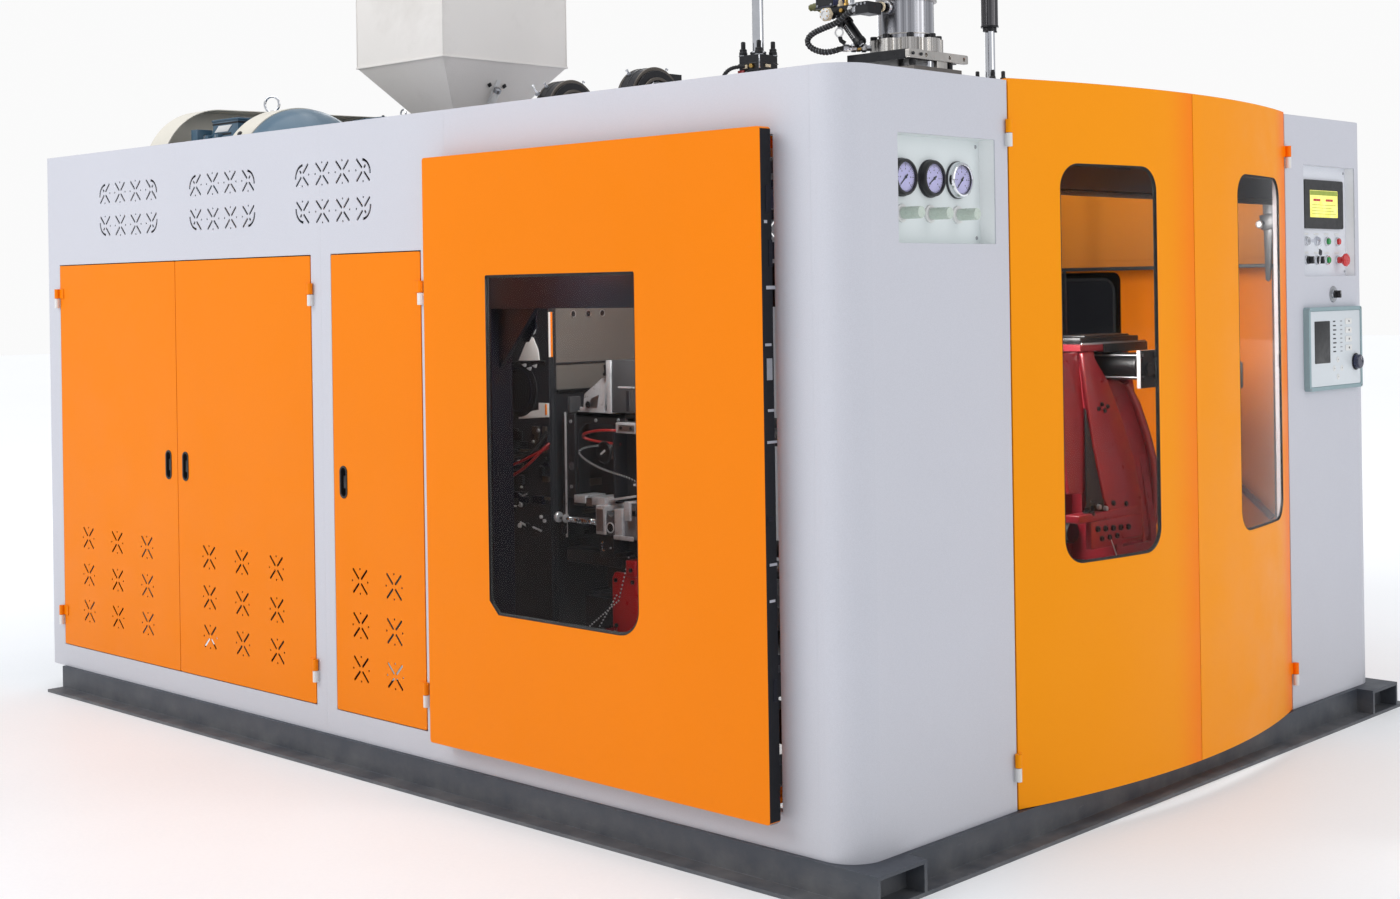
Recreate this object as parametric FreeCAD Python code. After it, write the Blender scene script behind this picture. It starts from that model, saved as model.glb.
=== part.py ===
import FreeCAD, Part
import math
import os

# Extrusion blow moulding machine, double station, millimetres, +Z up.
# +X runs along the long service side (the side at -Y), the curved front doors
# are at the +X end.  Origin: centre of the footprint, on the floor.

V = FreeCAD.Vector
os.makedirs("parts", exist_ok=True)

# ------------------------------------------------------------ driving sizes
LENGTH = 3600.0          # cover, end to end
WIDTH = 2565.0           # cover, side to side
BULGE = 96.0             # how far the curved front doors stand out
ZB = 80.0                # underside of the cover
ZT = 1820.0              # top edge of the cover
SHEET = 3.0              # cover sheet
XR = (LENGTH + BULGE) / 2 - BULGE     # front end face
XL = XR - LENGTH                      # rear end face
YN = -WIDTH / 2                       # near side face
YF = WIDTH / 2                        # far side face
R_FRONT = 84.0           # rounded vertical corners, front
R_REAR = 60.0            # rounded vertical corners, rear
FLANGE = 67.0            # foot of the base beams outside the cover

PAIR_X = (XR - 3476, XR - 2731, XR - 1992)     # pair of rear doors: edge, seam, edge
MID_X = (XR - 1895, XR - 1480)                 # single middle door
DOOR_Z = (154.0, 1450.0)                       # height range of hinged side doors
SLIDE_X = (XR - 1392, XR - 194)                # sliding door
SLIDE_Z = (151.0, 1690.0)
SLIDE_OUT = 61.0                               # its outer face from the cover
SLIDE_DEEP = 35.0
SLIDE_OPEN_X = (XR - 1361, XR - 210)           # opening behind it
SLIDE_OPEN_Z = (165.0, 1676.0)
WIN_X = (XR - 1140, XR - 597)                  # its window
WIN_Z = (516.0, 1377.0)
FAR_WIN_X = (XR - 1318, XR - 944)              # smaller window of the far door
FAR_WIN_Z = (640.0, 1350.0)
SLIDE_TRAVEL = 740.0
CARRY_X = (XR - 1290, XR - 235)                # ends of the shuttle beds

FY = (-675.5, 730.5)                           # curved doors, edge to edge
FZ = (82.0, 1825.0)
FWIN_L = (-515.0, -150.0)
FWIN_R = (288.0, 652.0)
FWIN_Z = (649.0, 1627.0)
CHORD = FY[1] - FY[0]
R_DOOR = ((CHORD / 2) ** 2 + BULGE ** 2) / (2 * BULGE)
DOOR_CX = XR + BULGE - R_DOOR
DOOR_CY = (FY[0] + FY[1]) / 2

GAP = 3.0                # gap round every door
PIN_R = 4.0              # hinge pin
BORE_R = 4.05            # its knuckle
KNUCKLE_R = 8.0
KNUCKLE_L = 32.0
HINGE_Z = (255.0, 1336.0)       # side doors
FHINGE_Z = (185.0, 1694.0)      # front doors

GAUGE_Y = (-1102.5, -730.5)
GAUGE_Z = (1429.0, 1675.0)
GAUGE_DEEP = 45.0
GAUGES = (-1035.0, -928.0, -821.0)
CTRL_Y = (850.0, 1190.0)
CTRL_Z = (1345.0, 1677.0)
CTRL_DEEP = 30.0
BTN_Y = (921.0, 989.0, 1057.0, 1127.0)
BTN_Z = (1451.0, 1394.0)
ROTARY = (1034.0, 1290.0)
UNIT_Y = (835.0, 1191.0)
UNIT_Z = (1003.0, 1252.0)
UNIT_THICK = 18.0
UNIT_KNOB = (1144.0, 1082.0)

STATION_Y = 552.0        # blow stations either side of the head
PIN_X = XR - 905         # blow cylinders
HEAD_X = XR - 816        # extrusion head
MOULD_X = XR - 860       # centre of the clamps
CARRIAGE_TRAVEL = 552.0
CLAMP_TRAVEL = 170.0
PIN_TRAVEL = 130.0
AXIS_Z = 1880.0          # extruder axis
HOPPER_X = XR - 2868
HOPPER_A, HOPPER_B = 500.0, 580.0
HOPPER_RIM = 2164.0
HOPPER_TOP = 2660.0
MOTOR_Y = -700.0        # drive motor, beside the extruder
MOTOR_Z = 1765.0
BAND_X = (XR - 2984, XR - 2872)        # cream band round the motor's end
DOME = 200.0                           # how far its rounded end stands out
GUARD_X = (XR - 3502, XR - 3382)       # belt guard


# ------------------------------------------------------------------ helpers
def box(x0, y0, z0, x1, y1, z1):
    return Part.makeBox(x1 - x0, y1 - y0, z1 - z0, V(x0, y0, z0))


AX = {"X": V(1, 0, 0), "Y": V(0, 1, 0), "Z": V(0, 0, 1)}


def cyl(x, y, z, r, h, axis="Z"):
    return Part.makeCylinder(r, h, V(x, y, z), AX[axis])


def tube(x, y, z, r, ri, h, axis="Z"):
    return cyl(x, y, z, r, h, axis).cut(cyl(x, y, z, ri, h, axis))


def cone(x, y, z, r1, r2, h, axis="Z"):
    return Part.makeCone(r1, r2, h, V(x, y, z), AX[axis])


def fuse(*shapes):
    flat = []
    for s in shapes:
        flat += list(s) if isinstance(s, (list, tuple)) else [s]
    out = flat[0] if len(flat) == 1 else flat[0].multiFuse(flat[1:])
    return out.removeSplitter()


def cut(a, *tools):
    flat = []
    for s in tools:
        flat += list(s) if isinstance(s, (list, tuple)) else [s]
    return a.cut(flat) if flat else a


def group(*shapes):
    flat = []
    for s in shapes:
        for t in list(s) if isinstance(s, (list, tuple)) else [s]:
            flat += t.Solids
    return Part.makeCompound(flat)


MAP = {
    "XZ": lambda u, v, w: V(u, w, v),
    "YZ": lambda u, v, w: V(w, u, v),
    "XY": lambda u, v, w: V(u, v, w),
}
OUT = {"XZ": V(0, 1, 0), "YZ": V(1, 0, 0), "XY": V(0, 0, 1)}


def plate(pts, rad, plane, a, b):
    """A flat outline with rounded (r > 0) or chamfered (r < 0) corners, from a to b."""
    n = len(pts)
    rad = [rad] * n if isinstance(rad, (int, float)) else rad
    ends, edges = [], []
    mp = MAP[plane]
    for i in range(n):
        p0, p1, p2 = pts[i - 1], pts[i], pts[(i + 1) % n]
        r = rad[i]
        if r == 0:
            ends.append((p1, p1, None))
            continue
        u1 = (p0[0] - p1[0], p0[1] - p1[1])
        u2 = (p2[0] - p1[0], p2[1] - p1[1])
        l1, l2 = math.hypot(*u1), math.hypot(*u2)
        u1 = (u1[0] / l1, u1[1] / l1)
        u2 = (u2[0] / l2, u2[1] / l2)
        if r < 0:
            ends.append(((p1[0] - u1[0] * r, p1[1] - u1[1] * r),
                         (p1[0] - u2[0] * r, p1[1] - u2[1] * r), "chamfer"))
            continue
        ang = math.acos(max(-1, min(1, u1[0] * u2[0] + u1[1] * u2[1])))
        d = r / math.tan(ang / 2)
        bx, by = u1[0] + u2[0], u1[1] + u2[1]
        bl = math.hypot(bx, by)
        bx, by = bx / bl, by / bl
        k = r / math.sin(ang / 2) - r
        ends.append(((p1[0] + u1[0] * d, p1[1] + u1[1] * d),
                     (p1[0] + u2[0] * d, p1[1] + u2[1] * d),
                     (p1[0] + bx * k, p1[1] + by * k)))
    for i in range(n):
        s, e, m = ends[i]
        if m == "chamfer":
            edges.append(Part.LineSegment(mp(*s, a), mp(*e, a)).toShape())
        elif m is not None:
            edges.append(Part.Arc(mp(*s, a), mp(*m, a), mp(*e, a)).toShape())
        nxt = ends[(i + 1) % n][0]
        if math.hypot(nxt[0] - e[0], nxt[1] - e[1]) > 1e-6:
            edges.append(Part.LineSegment(mp(*e, a), mp(*nxt, a)).toShape())
    face = Part.Face(Part.Wire(edges))
    return face.extrude(OUT[plane] * (b - a))


def rect(x0, z0, x1, z1, r, plane, a, b):
    return plate([(x0, z0), (x1, z0), (x1, z1), (x0, z1)], r, plane, a, b)


def slot(cu, cv, du, dv, w, plane, a, b):
    """A round-ended slot of width w from (cu, cv) along (du, dv)."""
    l = math.hypot(du, dv)
    nx, ny = -dv / l * w / 2, du / l * w / 2
    ex, ey = du / l * w / 2, dv / l * w / 2
    mp = MAP[plane]
    a0, a1 = (cu + nx, cv + ny), (cu - nx, cv - ny)
    b0, b1 = (cu + du + nx, cv + dv + ny), (cu + du - nx, cv + dv - ny)
    e = [Part.LineSegment(mp(*a0, a), mp(*b0, a)).toShape(),
         Part.Arc(mp(*b0, a), mp(cu + du + ex, cv + dv + ey, a), mp(*b1, a)).toShape(),
         Part.LineSegment(mp(*b1, a), mp(*a1, a)).toShape(),
         Part.Arc(mp(*a1, a), mp(cu - ex, cv - ey, a), mp(*a0, a)).toShape()]
    return Part.Face(Part.Wire(e)).extrude(OUT[plane] * (b - a))


def cross_vent(cu, cv, y0, y1, k=1.0, strokes=((1, 1), (1, -1), (-1, 1), (-1, -1)), stub=None):
    """One ventilation figure: slanted slots and four small round holes; a stub is a short slot."""
    out = []
    for sx, sz in strokes:
        f = 0.16 if (sx, sz) == stub else 1.0
        out.append(slot(cu + sx * 6.5 * k, cv + sz * 7.5 * k, sx * 22 * k * f, sz * 22 * k * f,
                        7.4, "XZ", y0, y1))
    dots = [(0, 1), (0, -1), (1, 0), (-1, 0)]
    if stub:
        dots = [d for d in dots if d not in ((stub[0], 0), (0, stub[1]))]
    for sx, sz in dots:
        out.append(cyl(cu + sx * 33 * k, y0, cv + sz * 32 * k, 3.2, y1 - y0, "Y"))
    return out


def arc_slot(cx, cz, r, w, a0, a1, y0, y1):
    """A curved slot in the side sheet."""
    def p(rr, ang):
        t = math.radians(ang)
        return V(cx + rr * math.cos(t), y0, cz + rr * math.sin(t))
    am = (a0 + a1) / 2
    e = [Part.Arc(p(r + w / 2, a0), p(r + w / 2, am), p(r + w / 2, a1)).toShape(),
         Part.LineSegment(p(r + w / 2, a1), p(r - w / 2, a1)).toShape(),
         Part.Arc(p(r - w / 2, a1), p(r - w / 2, am), p(r - w / 2, a0)).toShape(),
         Part.LineSegment(p(r - w / 2, a0), p(r + w / 2, a0)).toShape()]
    return Part.Face(Part.Wire(e)).extrude(V(0, y1 - y0, 0))


def mirror(s):
    return s.mirror(V(0, 0, 0), V(0, 1, 0))


def ring_sector(cx, cy, r0, r1, a0, a1, z0, z1):
    """Part of a round wall, angles in degrees from +X."""
    def p(rr, ang):
        t = math.radians(ang)
        return V(cx + rr * math.cos(t), cy + rr * math.sin(t), z0)
    am = (a0 + a1) / 2
    e = [Part.Arc(p(r1, a0), p(r1, am), p(r1, a1)).toShape(),
         Part.LineSegment(p(r1, a1), p(r0, a1)).toShape(),
         Part.Arc(p(r0, a1), p(r0, am), p(r0, a0)).toShape(),
         Part.LineSegment(p(r0, a0), p(r1, a0)).toShape()]
    return Part.Face(Part.Wire(e)).extrude(V(0, 0, z1 - z0))


def route(points, r, bends):
    """A round tube along straight runs joined by tangent arcs."""
    pts = [V(*p) for p in points]
    edges, at, radii = [], pts[0], []
    for i in range(1, len(pts) - 1):
        a, b, c = pts[i - 1], pts[i], pts[i + 1]
        u, w = (a - b).normalize(), (c - b).normalize()
        ang = math.acos(max(-1, min(1, u.dot(w))))
        run = min((a - b).Length, (c - b).Length)
        rad = bends if bends else 0.45 * run * math.tan(ang / 2)
        radii.append(round(rad))
        d = rad / math.tan(ang / 2)
        s, e = b + u * d, b + w * d
        k = (u + w).normalize()
        m = b + k * (rad / math.sin(ang / 2) - rad)
        edges.append(Part.LineSegment(at, s).toShape())
        edges.append(Part.Arc(s, m, e).toShape())
        at = e
    edges.append(Part.LineSegment(at, pts[-1]).toShape())
    path = Part.Wire(edges)
    d0 = (pts[1] - pts[0]).normalize()
    prof = Part.Wire([Part.makeCircle(r, pts[0], d0)])
    body = path.makePipeShell([prof], True, True)
    print("hose length %.0f mm, volume ratio %.3f, radii" % (
        path.Length, body.Volume / (math.pi * r * r * path.Length)), radii)
    return body


PARTS = {}


def save(name, shape):
    PARTS[name] = shape
    assert shape.isValid(), name
    shape.exportStep("parts/%s.step" % name)


# ---------------------------------------------------------------- the base
B_L = XR - 3476          # rear end of the long beams
B_R = XR + FLANGE        # front end of the long beams
zb1 = ZB


def long_beam():
    y = YN
    return [box(B_L, y - 12, 0, B_R, y - 4, zb1),
            box(B_L, y - FLANGE, 0, B_R, y + 70, 9),
            box(B_L, y - 12, zb1 - 9, B_R, y + 160, zb1),
            box(B_L, y + 150, 0, B_R, y + 160, zb1)]


def end_beam(x, s):
    xs = sorted((x + s * 15, x + s * 7))
    fl = sorted((x + s * FLANGE, x - s * 70))
    tf = sorted((x + s * 15, x - s * 70))
    return [box(xs[0], YN - 4, 0, xs[1], YF + 4, zb1),
            box(fl[0], YN + 70, 0, fl[1], YF - 70, 9),
            box(tf[0], YN + 70, zb1 - 9, tf[1], YF - 70, zb1)]


CROSS_X = (XR - 3052, XR - 2352, XR - 1832, XR - 1552, XR - 752)     # cross members
base = fuse(long_beam(), [mirror(s) for s in long_beam()], end_beam(XR, 1),
            end_beam(B_L + 75, -1),
            [box(x - 40, YN - 4, 0, x + 40, YF + 4, zb1) for x in CROSS_X])
save("base_frame", base)

# ---------------------------------------------------------- inner structure
# square tubes, each one solid, welded to the base
S = 70.0
POST_Y = YN + 84
PX = (XL + 190, XR - 1983, SLIDE_OPEN_X[0], XR - 200)
YI = POST_Y + S                 # inner side of the near posts
tubes = []
for x in PX:
    for a, b in ((POST_Y, YI), (-YI, -POST_Y)):
        tubes.append(box(x, a, zb1, x + S, b, 1700))
for a, b in ((POST_Y, YI), (-YI, -POST_Y)):
    tubes.append(box(PX[0], a, 1700, PX[3] + S, b, ZT - 60))          # top rails
    z0, z1 = (1290, 1390) if a < 0 else (1400, 1500)
    tubes.append(box(PX[2] + S, a, z0, PX[3], b, z1))                 # over the mould space
    tubes.append(box(PX[2] + S, a, 290, PX[3], b, 370))               # under it
for x in (PX[2] + S, PX[3] - S - 5):
    tubes.append(box(x, YI, 290, x + S, -YI, 370))                    # carry the shuttle rails
save("inner_frame", group(tubes))

# upper structure: cross rails, extruder rails, cylinder plates, motor deck
KN_X, KN_Y = HEAD_X - 150, 175.0
top = [box(x, YI, 1580, x + S, -YI, 1640) for x in PX[1:]]
RAIL_A, RAIL_B = 92.0, 152.0
for a, b in ((-RAIL_B, -RAIL_A), (RAIL_A, RAIL_B)):
    top.append(box(PX[0] + 38, a, 1640, PX[3] + S, b, 1700))
    top.append(box(PX[0] + 34, a, 1500, PX[0] + S, b, 1640))
for y in (-STATION_Y, STATION_Y):
    p = box(PX[2], y - 110, 1640, PX[3] + S, y + 110, 1670)
    top.append(p.cut(cyl(PIN_X, y, 1600, 24, 100)))
for x in PX[:2]:
    top.append(box(x, YI, 1440, x + S, -YI, 1500))
for y in (MOTOR_Y - 160, MOTOR_Y + 100):
    top.append(box(PX[0] + S, y, 1440, PX[1], y + 60, 1500))
top.append(plate([(PX[2] + S, 1290), (PX[2] + S + 150, 1290), (PX[2] + S, 1130)],
                 0, "XZ", POST_Y + 26, POST_Y + 38))
# hanger for the knife
top.append(fuse(cyl(KN_X, KN_Y, 1223, 8, 450), cyl(KN_X, KN_Y, 1215, 14, 8),
                box(KN_X - 20, RAIL_B, 1655, KN_X + 20, KN_Y + 20, 1690)))
save("top_frame", group(top))

RAIL_X = (XR - 1256, XR - 240)          # shuttle rails across the machine


# --------------------------------------------------------------- side covers
def jamb(x0, z0, x1, z1, y, depth, t=SHEET):
    """Folded-in edge round an opening."""
    return [box(x0 - t, y, z0 - t, x0, y + depth, z1 + t),
            box(x1, y, z0 - t, x1 + t, y + depth, z1 + t),
            box(x0, y, z0 - t, x1, y + depth, z0),
            box(x0, y, z1, x1, y + depth, z1 + t)]


def vent_group(cx):
    out = []
    for row, cz in enumerate((1681.0, 1573.0)):
        up = 1 if row == 0 else -1
        for k in range(4):
            x = cx + (k - 1.5) * 98
            stub = {0: (-1, up), 3: (1, up)}.get(k)
            out += cross_vent(x, cz, YN - 2, YN + SHEET + 2, 1.0, stub=stub)
        for side in (-1, 1):
            x = cx + side * 1.5 * 98
            ang = {(-1, 1): (94, 182), (1, 1): (-2, 86),
                   (-1, -1): (178, 266), (1, -1): (274, 362)}[(side, up)]
            out.append(arc_slot(x - side * 6, cz - up * 10, 39, 7.4, *ang, YN - 2, YN + SHEET + 2))
    return out


VENTS = (XR - 3016, XR - 2458, XR - 1882)


def side_cover(front_edge, full):
    """Side sheet with rounded ends, folded round both corners; front_edge is where the front face stops."""
    t = SHEET
    sh = [box(XL + R_REAR, YN, ZB, XR - R_FRONT, YN + t, ZT)]
    ring = tube(XR - R_FRONT, YN + R_FRONT, ZB, R_FRONT, R_FRONT - t, ZT - ZB)
    sh.append(ring.common(box(XR - R_FRONT, YN, ZB, XR, YN + R_FRONT, ZT)))
    ring = tube(XL + R_REAR, YN + R_REAR, ZB, R_REAR, R_REAR - t, ZT - ZB)
    sh.append(ring.common(box(XL, YN, ZB, XL + R_REAR, YN + R_REAR, ZT)))
    sh.append(box(XR - t, YN + R_FRONT, ZB, XR, front_edge, ZT))
    sh.append(box(XR - 42, front_edge - t, ZB, XR - t, front_edge, ZT))
    sh.append(box(XL, YN + R_REAR, ZB, XL + t, YN + 160, ZT))
    sh.append(box(XL + t, YN + 160 - t, ZB, XL + 30, YN + 160, ZT))
    sh.append(box(XL + R_REAR, YN + t, ZT - t, XR - R_FRONT, YN + 26, ZT))   # top fold
    sh.append(box(XL + R_REAR, YN + t, ZB, XR - R_FRONT, YN + 26, ZB + t))   # bottom fold
    opens = [(SLIDE_OPEN_X[0], SLIDE_OPEN_Z[0], SLIDE_OPEN_X[1], SLIDE_OPEN_Z[1])]
    if full:
        opens += [(PAIR_X[0], DOOR_Z[0], PAIR_X[2], DOOR_Z[1]),
                  (MID_X[0], DOOR_Z[0], MID_X[1], DOOR_Z[1])]
    for o in opens:
        sh += jamb(*o, YN, 26)
    s = fuse(sh)
    tools = [box(o[0], YN - 5, o[1], o[2], YN + 60, o[3]) for o in opens]
    for cx in VENTS:
        tools += vent_group(cx)
    return s, tools


near, tools = side_cover(FY[0] - GAP, True)
tools.append(rect(GAUGE_Y[0], GAUGE_Z[0], GAUGE_Y[1], GAUGE_Z[1], 2, "YZ", XR - 10, XR + 5))
near = cut(near, tools)
# the long side is four sheets, butted at these seams
SEAMS = (-3000.0, (PAIR_X[2] + MID_X[0]) / 2, SLIDE_OPEN_X[0] - 13, XR - R_FRONT - 18, 3000.0)
save("near_side_panel", group([near.common(box(a, -2000, -10, b, 2000, 3000))
                               for a, b in zip(SEAMS, SEAMS[1:])]))

far, tools = side_cover(-FY[1] - GAP, False)
tools.append(rect(-CTRL_Y[1], CTRL_Z[0], -CTRL_Y[0], CTRL_Z[1], 2, "YZ", XR - 10, XR + 5))
tools.append(cyl(XR - 10, -ROTARY[0], ROTARY[1], 11.2, 20, "X"))
tools.append(rect(-UNIT_Y[1] + 14, UNIT_Z[0] + 14, -UNIT_Y[0] - 14, UNIT_Z[1] - 14, 3,
                  "YZ", XR - 10, XR + 5))
save("far_side_panel", mirror(cut(far, tools)))

# rear end sheet, with two rows of the same vents kept plain as slots
rear = fuse(box(XL, YN + 160 + 1, ZB, XL + SHEET, YF - 160 - 1, ZT),
            box(XL + SHEET, YN + 161, ZT - SHEET, XL + 26, YF - 161, ZT),
            box(XL + SHEET, YN + 161, ZB, XL + 26, YF - 161, ZB + SHEET))
louv = []
for j in range(-6, 7):
    for k in range(2):
        louv.append(slot(j * 110 - 35, 1560 + k * 60, 70, 0, 12, "YZ", XL - 2, XL + 6))
save("rear_panel", cut(rear, louv))

# roof: folded deck a little below the top edge, open over the extruder, motor and head
ROOF_Z = ZT - 60
roof = fuse(box(XL + 31, YN + 27, ROOF_Z, XR - 60, YF - 27, ROOF_Z + SHEET))
roof = cut(roof,
           box(GUARD_X[0] - 12, MOTOR_Y - 258, ROOF_Z - 5, GUARD_X[1] + 20, 262, ROOF_Z + 10),
           box(GUARD_X[1] + 10, MOTOR_Y - 278, ROOF_Z - 5, BAND_X[1] + DOME + 20, MOTOR_Y + 278, ROOF_Z + 10),
           box(GUARD_X[1] + 10, -280, ROOF_Z - 5, XR - 1600, 200, ROOF_Z + 10),
           box(XR - 1700, -125, ROOF_Z - 5, XR - 1000, 125, ROOF_Z + 10),
           box(HEAD_X - 190, -190, ROOF_Z - 5, HEAD_X + 190, 190, ROOF_Z + 10),
           [rect(PIN_X - 85, y - 85, PIN_X + 85, y + 85, 20, "XY", ROOF_Z - 5, ROOF_Z + 10)
            for y in (-STATION_Y, STATION_Y)],
           [box(XR - R_FRONT - 20, s0, ROOF_Z - 5, XR, s1, ROOF_Z + 10)
            for s0, s1 in ((YN, YN + R_FRONT), (YF - R_FRONT, YF))])
save("roof_panel", roof)


# ------------------------------------------------------------------ hinges
def frame_hinge(x, y, z, pad):
    """Fixed knuckle with its pin and the pad that welds it to the cover."""
    return fuse(cyl(x, y, z - KNUCKLE_L - 1, KNUCKLE_R, KNUCKLE_L), cyl(x, y, z - 1.5, PIN_R, KNUCKLE_L), pad)


fixed = []
SH_Y = YN - KNUCKLE_R - 1
for x in (PAIR_X[0] - 6, PAIR_X[2] + 6, MID_X[1] + 6):
    for z in HINGE_Z:
        fixed.append(frame_hinge(x, SH_Y, z, box(x - 6, SH_Y, z - KNUCKLE_L - 1, x + 6, YN, z - 1)))
FH_X = XR + KNUCKLE_R + 1
for y in (FY[0] - 8, FY[1] + 8):
    for z in FHINGE_Z:
        fixed.append(frame_hinge(FH_X, y, z, box(XR, y - 5, z - KNUCKLE_L - 1, FH_X, y + 5, z - 1)))
save("hinge_pins", group(fixed))


# -------------------------------------------------------------- side doors
def door_tray(x0, x1, z0, z1, y, depth, t=2.0, r=6.0):
    """A folded sheet door whose outer face is at y."""
    outer = rect(x0, z0, x1, z1, r, "XZ", y, y + depth)
    inner = rect(x0 + t, z0 + t, x1 - t, z1 - t, max(r - t, 0.5), "XZ", y + t, y + depth + 1)
    return outer.cut(inner)


def knuckle(x, y, z, strap):
    return fuse(cyl(x, y, z, KNUCKLE_R, KNUCKLE_L), strap)


def side_door(x0, x1, hinge_left, cols, pull_x):
    dz0, dz1 = DOOR_Z[0] + GAP, DOOR_Z[1] - GAP
    d = door_tray(x0, x1, dz0, dz1, YN - 1, 21)
    hx = (x0 - GAP - 6) if hinge_left else (x1 + GAP + 6)
    parts = [d]
    for z in HINGE_Z:
        a, b = sorted((hx, hx + (34 if hinge_left else -34)))
        parts.append(knuckle(hx, SH_Y, z, box(a, YN - 4, z, b, YN - 1, z + KNUCKLE_L)))
    s = fuse(parts)
    tools = []
    for z in HINGE_Z:
        tools.append(cyl(hx, SH_Y, z - 1, BORE_R, KNUCKLE_L + 2))
    for cx in cols:
        for cz in (530.0, 406.0, 284.0):
            tools += cross_vent(cx, cz, YN - 3, YN + 4, 1.08)
    tools.append(slot(pull_x, 775, 0, 58, 24, "XZ", YN - 3, YN + 4))
    return cut(s, tools)


save("rear_left_door", side_door(PAIR_X[0] + GAP, PAIR_X[1] - 1.5, True,
                                 (XR - 3304, XR - 3115, XR - 2926), XR - 2784))
save("rear_right_door", side_door(PAIR_X[1] + 1.5, PAIR_X[2] - GAP, False,
                                  (XR - 2556, XR - 2374, XR - 2190), XR - 2684))
save("middle_door", side_door(MID_X[0] + GAP, MID_X[1] - GAP, False,
                              (XR - 1776, XR - 1620), XR - 1846))


# ----------------------------------------------------------- sliding doors
BAR_Z = (SLIDE_OPEN_Z[1] - 48, SLIDE_OPEN_Z[0] + 24)      # undersides of the guide bars
BAR_Y = (YN + 38, YN + 50)
ARMS = (XR - 250, XR - 590)


def slide_door(wx, wz, corners):
    y = YN - SLIDE_OUT
    d = door_tray(SLIDE_X[0], SLIDE_X[1], SLIDE_Z[0], SLIDE_Z[1], y, SLIDE_DEEP, 2.0, 8.0)
    # arms reach through the opening: a roller rides on the upper bar,
    # an upturned lip runs behind the lower one
    arms = []
    zt = BAR_Z[0] + 20
    for x in ARMS:
        arms.append(box(x - 25, y + 1, zt + 22, x + 25, YN + 56, zt + 26))
        arms.append(box(x - 25, YN + 52, zt + 2, x + 25, YN + 56, zt + 26))
        arms.append(cyl(x, BAR_Y[0] + 1, zt + 10.5, 10, 14, "Y"))
        arms.append(box(x - 25, y + 1, BAR_Z[1] - 8, x + 25, YN + 56, BAR_Z[1] - 4))
        arms.append(box(x - 25, YN + 52, BAR_Z[1] - 8, x + 25, YN + 56, BAR_Z[1] + 14))
    s = fuse(d, arms)
    w = plate([(wx[0], wz[0]), (wx[1], wz[0]), (wx[1], wz[1]), (wx[0], wz[1])],
              corners, "XZ", y - 2, y + 6)
    return s.cut(w)


def slide_pane(wx, wz):
    y = YN - SLIDE_OUT + 2
    return rect(wx[0] - 22, wz[0] - 22, wx[1] + 22, wz[1] + 22, 30, "XZ", y, y + 4)


save("near_slide_door", slide_door(WIN_X, WIN_Z, [-34, 66, 5, 5]))
save("far_slide_door", mirror(slide_door(FAR_WIN_X, FAR_WIN_Z, [45, 45, 45, 45])))
save("near_slide_pane", slide_pane(WIN_X, WIN_Z))
save("far_slide_pane", mirror(slide_pane(FAR_WIN_X, FAR_WIN_Z)))

rails = []
for z in BAR_Z:
    b = box(SLIDE_OPEN_X[0] - SHEET, BAR_Y[0], z, SLIDE_OPEN_X[1] + SHEET, BAR_Y[1], z + 20)
    # end lugs sit behind the folded edge of the opening
    lugs = [box(x, YN + 26, z, x + 10, BAR_Y[0], z + 20)
            for x in (SLIDE_OPEN_X[0] - SHEET, SLIDE_OPEN_X[1] + SHEET - 10)]
    b = fuse(b, lugs)
    rails += [b, mirror(b)]
for x in RAIL_X:
    rails.append(box(x - 14, -1000, 370, x + 14, 1000, 396))
save("guide_rails", group(rails))


# ------------------------------------------------------------- front doors
def ang(y, r=R_DOOR):
    return math.degrees(math.asin((y - DOOR_CY) / r))


def front_door(ya, yb, win, hinge_y, outward):
    a0, a1 = ang(ya), ang(yb)
    z0, z1 = FZ
    t = 2.0
    skin = ring_sector(DOOR_CX, DOOR_CY, R_DOOR - t, R_DOOR, a0, a1, z0, z1)
    body = ring_sector(DOOR_CX, DOOR_CY, R_DOOR - 24, R_DOOR, a0, a1, z0, z1)
    e = math.degrees(t / R_DOOR)
    hollow = ring_sector(DOOR_CX, DOOR_CY, R_DOOR - 30, R_DOOR - t, a0 + e, a1 - e, z0 + t, z1 - t)
    d = body.cut(hollow)
    parts = [d]
    for z in FHINGE_Z:
        a, b = sorted((hinge_y, hinge_y + outward * 24))
        parts.append(fuse(cyl(FH_X, hinge_y, z, KNUCKLE_R, KNUCKLE_L),
                          box(XR + 1, a, z, XR + 4.2, b, z + KNUCKLE_L)))
    s = fuse(parts)
    tools = [cyl(FH_X, hinge_y, z - 1, BORE_R, KNUCKLE_L + 2) for z in FHINGE_Z]
    tools.append(rect(win[0], FWIN_Z[0], win[1], FWIN_Z[1], 62, "YZ", XR - 60, XR + 150))
    return cut(s, tools)


def front_pane(win):
    m = 20.0
    p = ring_sector(DOOR_CX, DOOR_CY, R_DOOR - 6, R_DOOR - 2, ang(win[0] - m), ang(win[1] + m),
                    FWIN_Z[0] - m, FWIN_Z[1] + m)
    return p.common(rect(win[0] - m, FWIN_Z[0] - m, win[1] + m, FWIN_Z[1] + m, 60,
                         "YZ", XR - 60, XR + 150))


save("front_left_door", front_door(FY[0] + 2, DOOR_CY - 1.5, FWIN_L, FY[0] - 8, 1))
save("front_right_door", front_door(DOOR_CY + 1.5, FY[1] - 2, FWIN_R, FY[1] + 8, -1))
save("front_left_pane", front_pane(FWIN_L))
save("front_right_pane", front_pane(FWIN_R))


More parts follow.
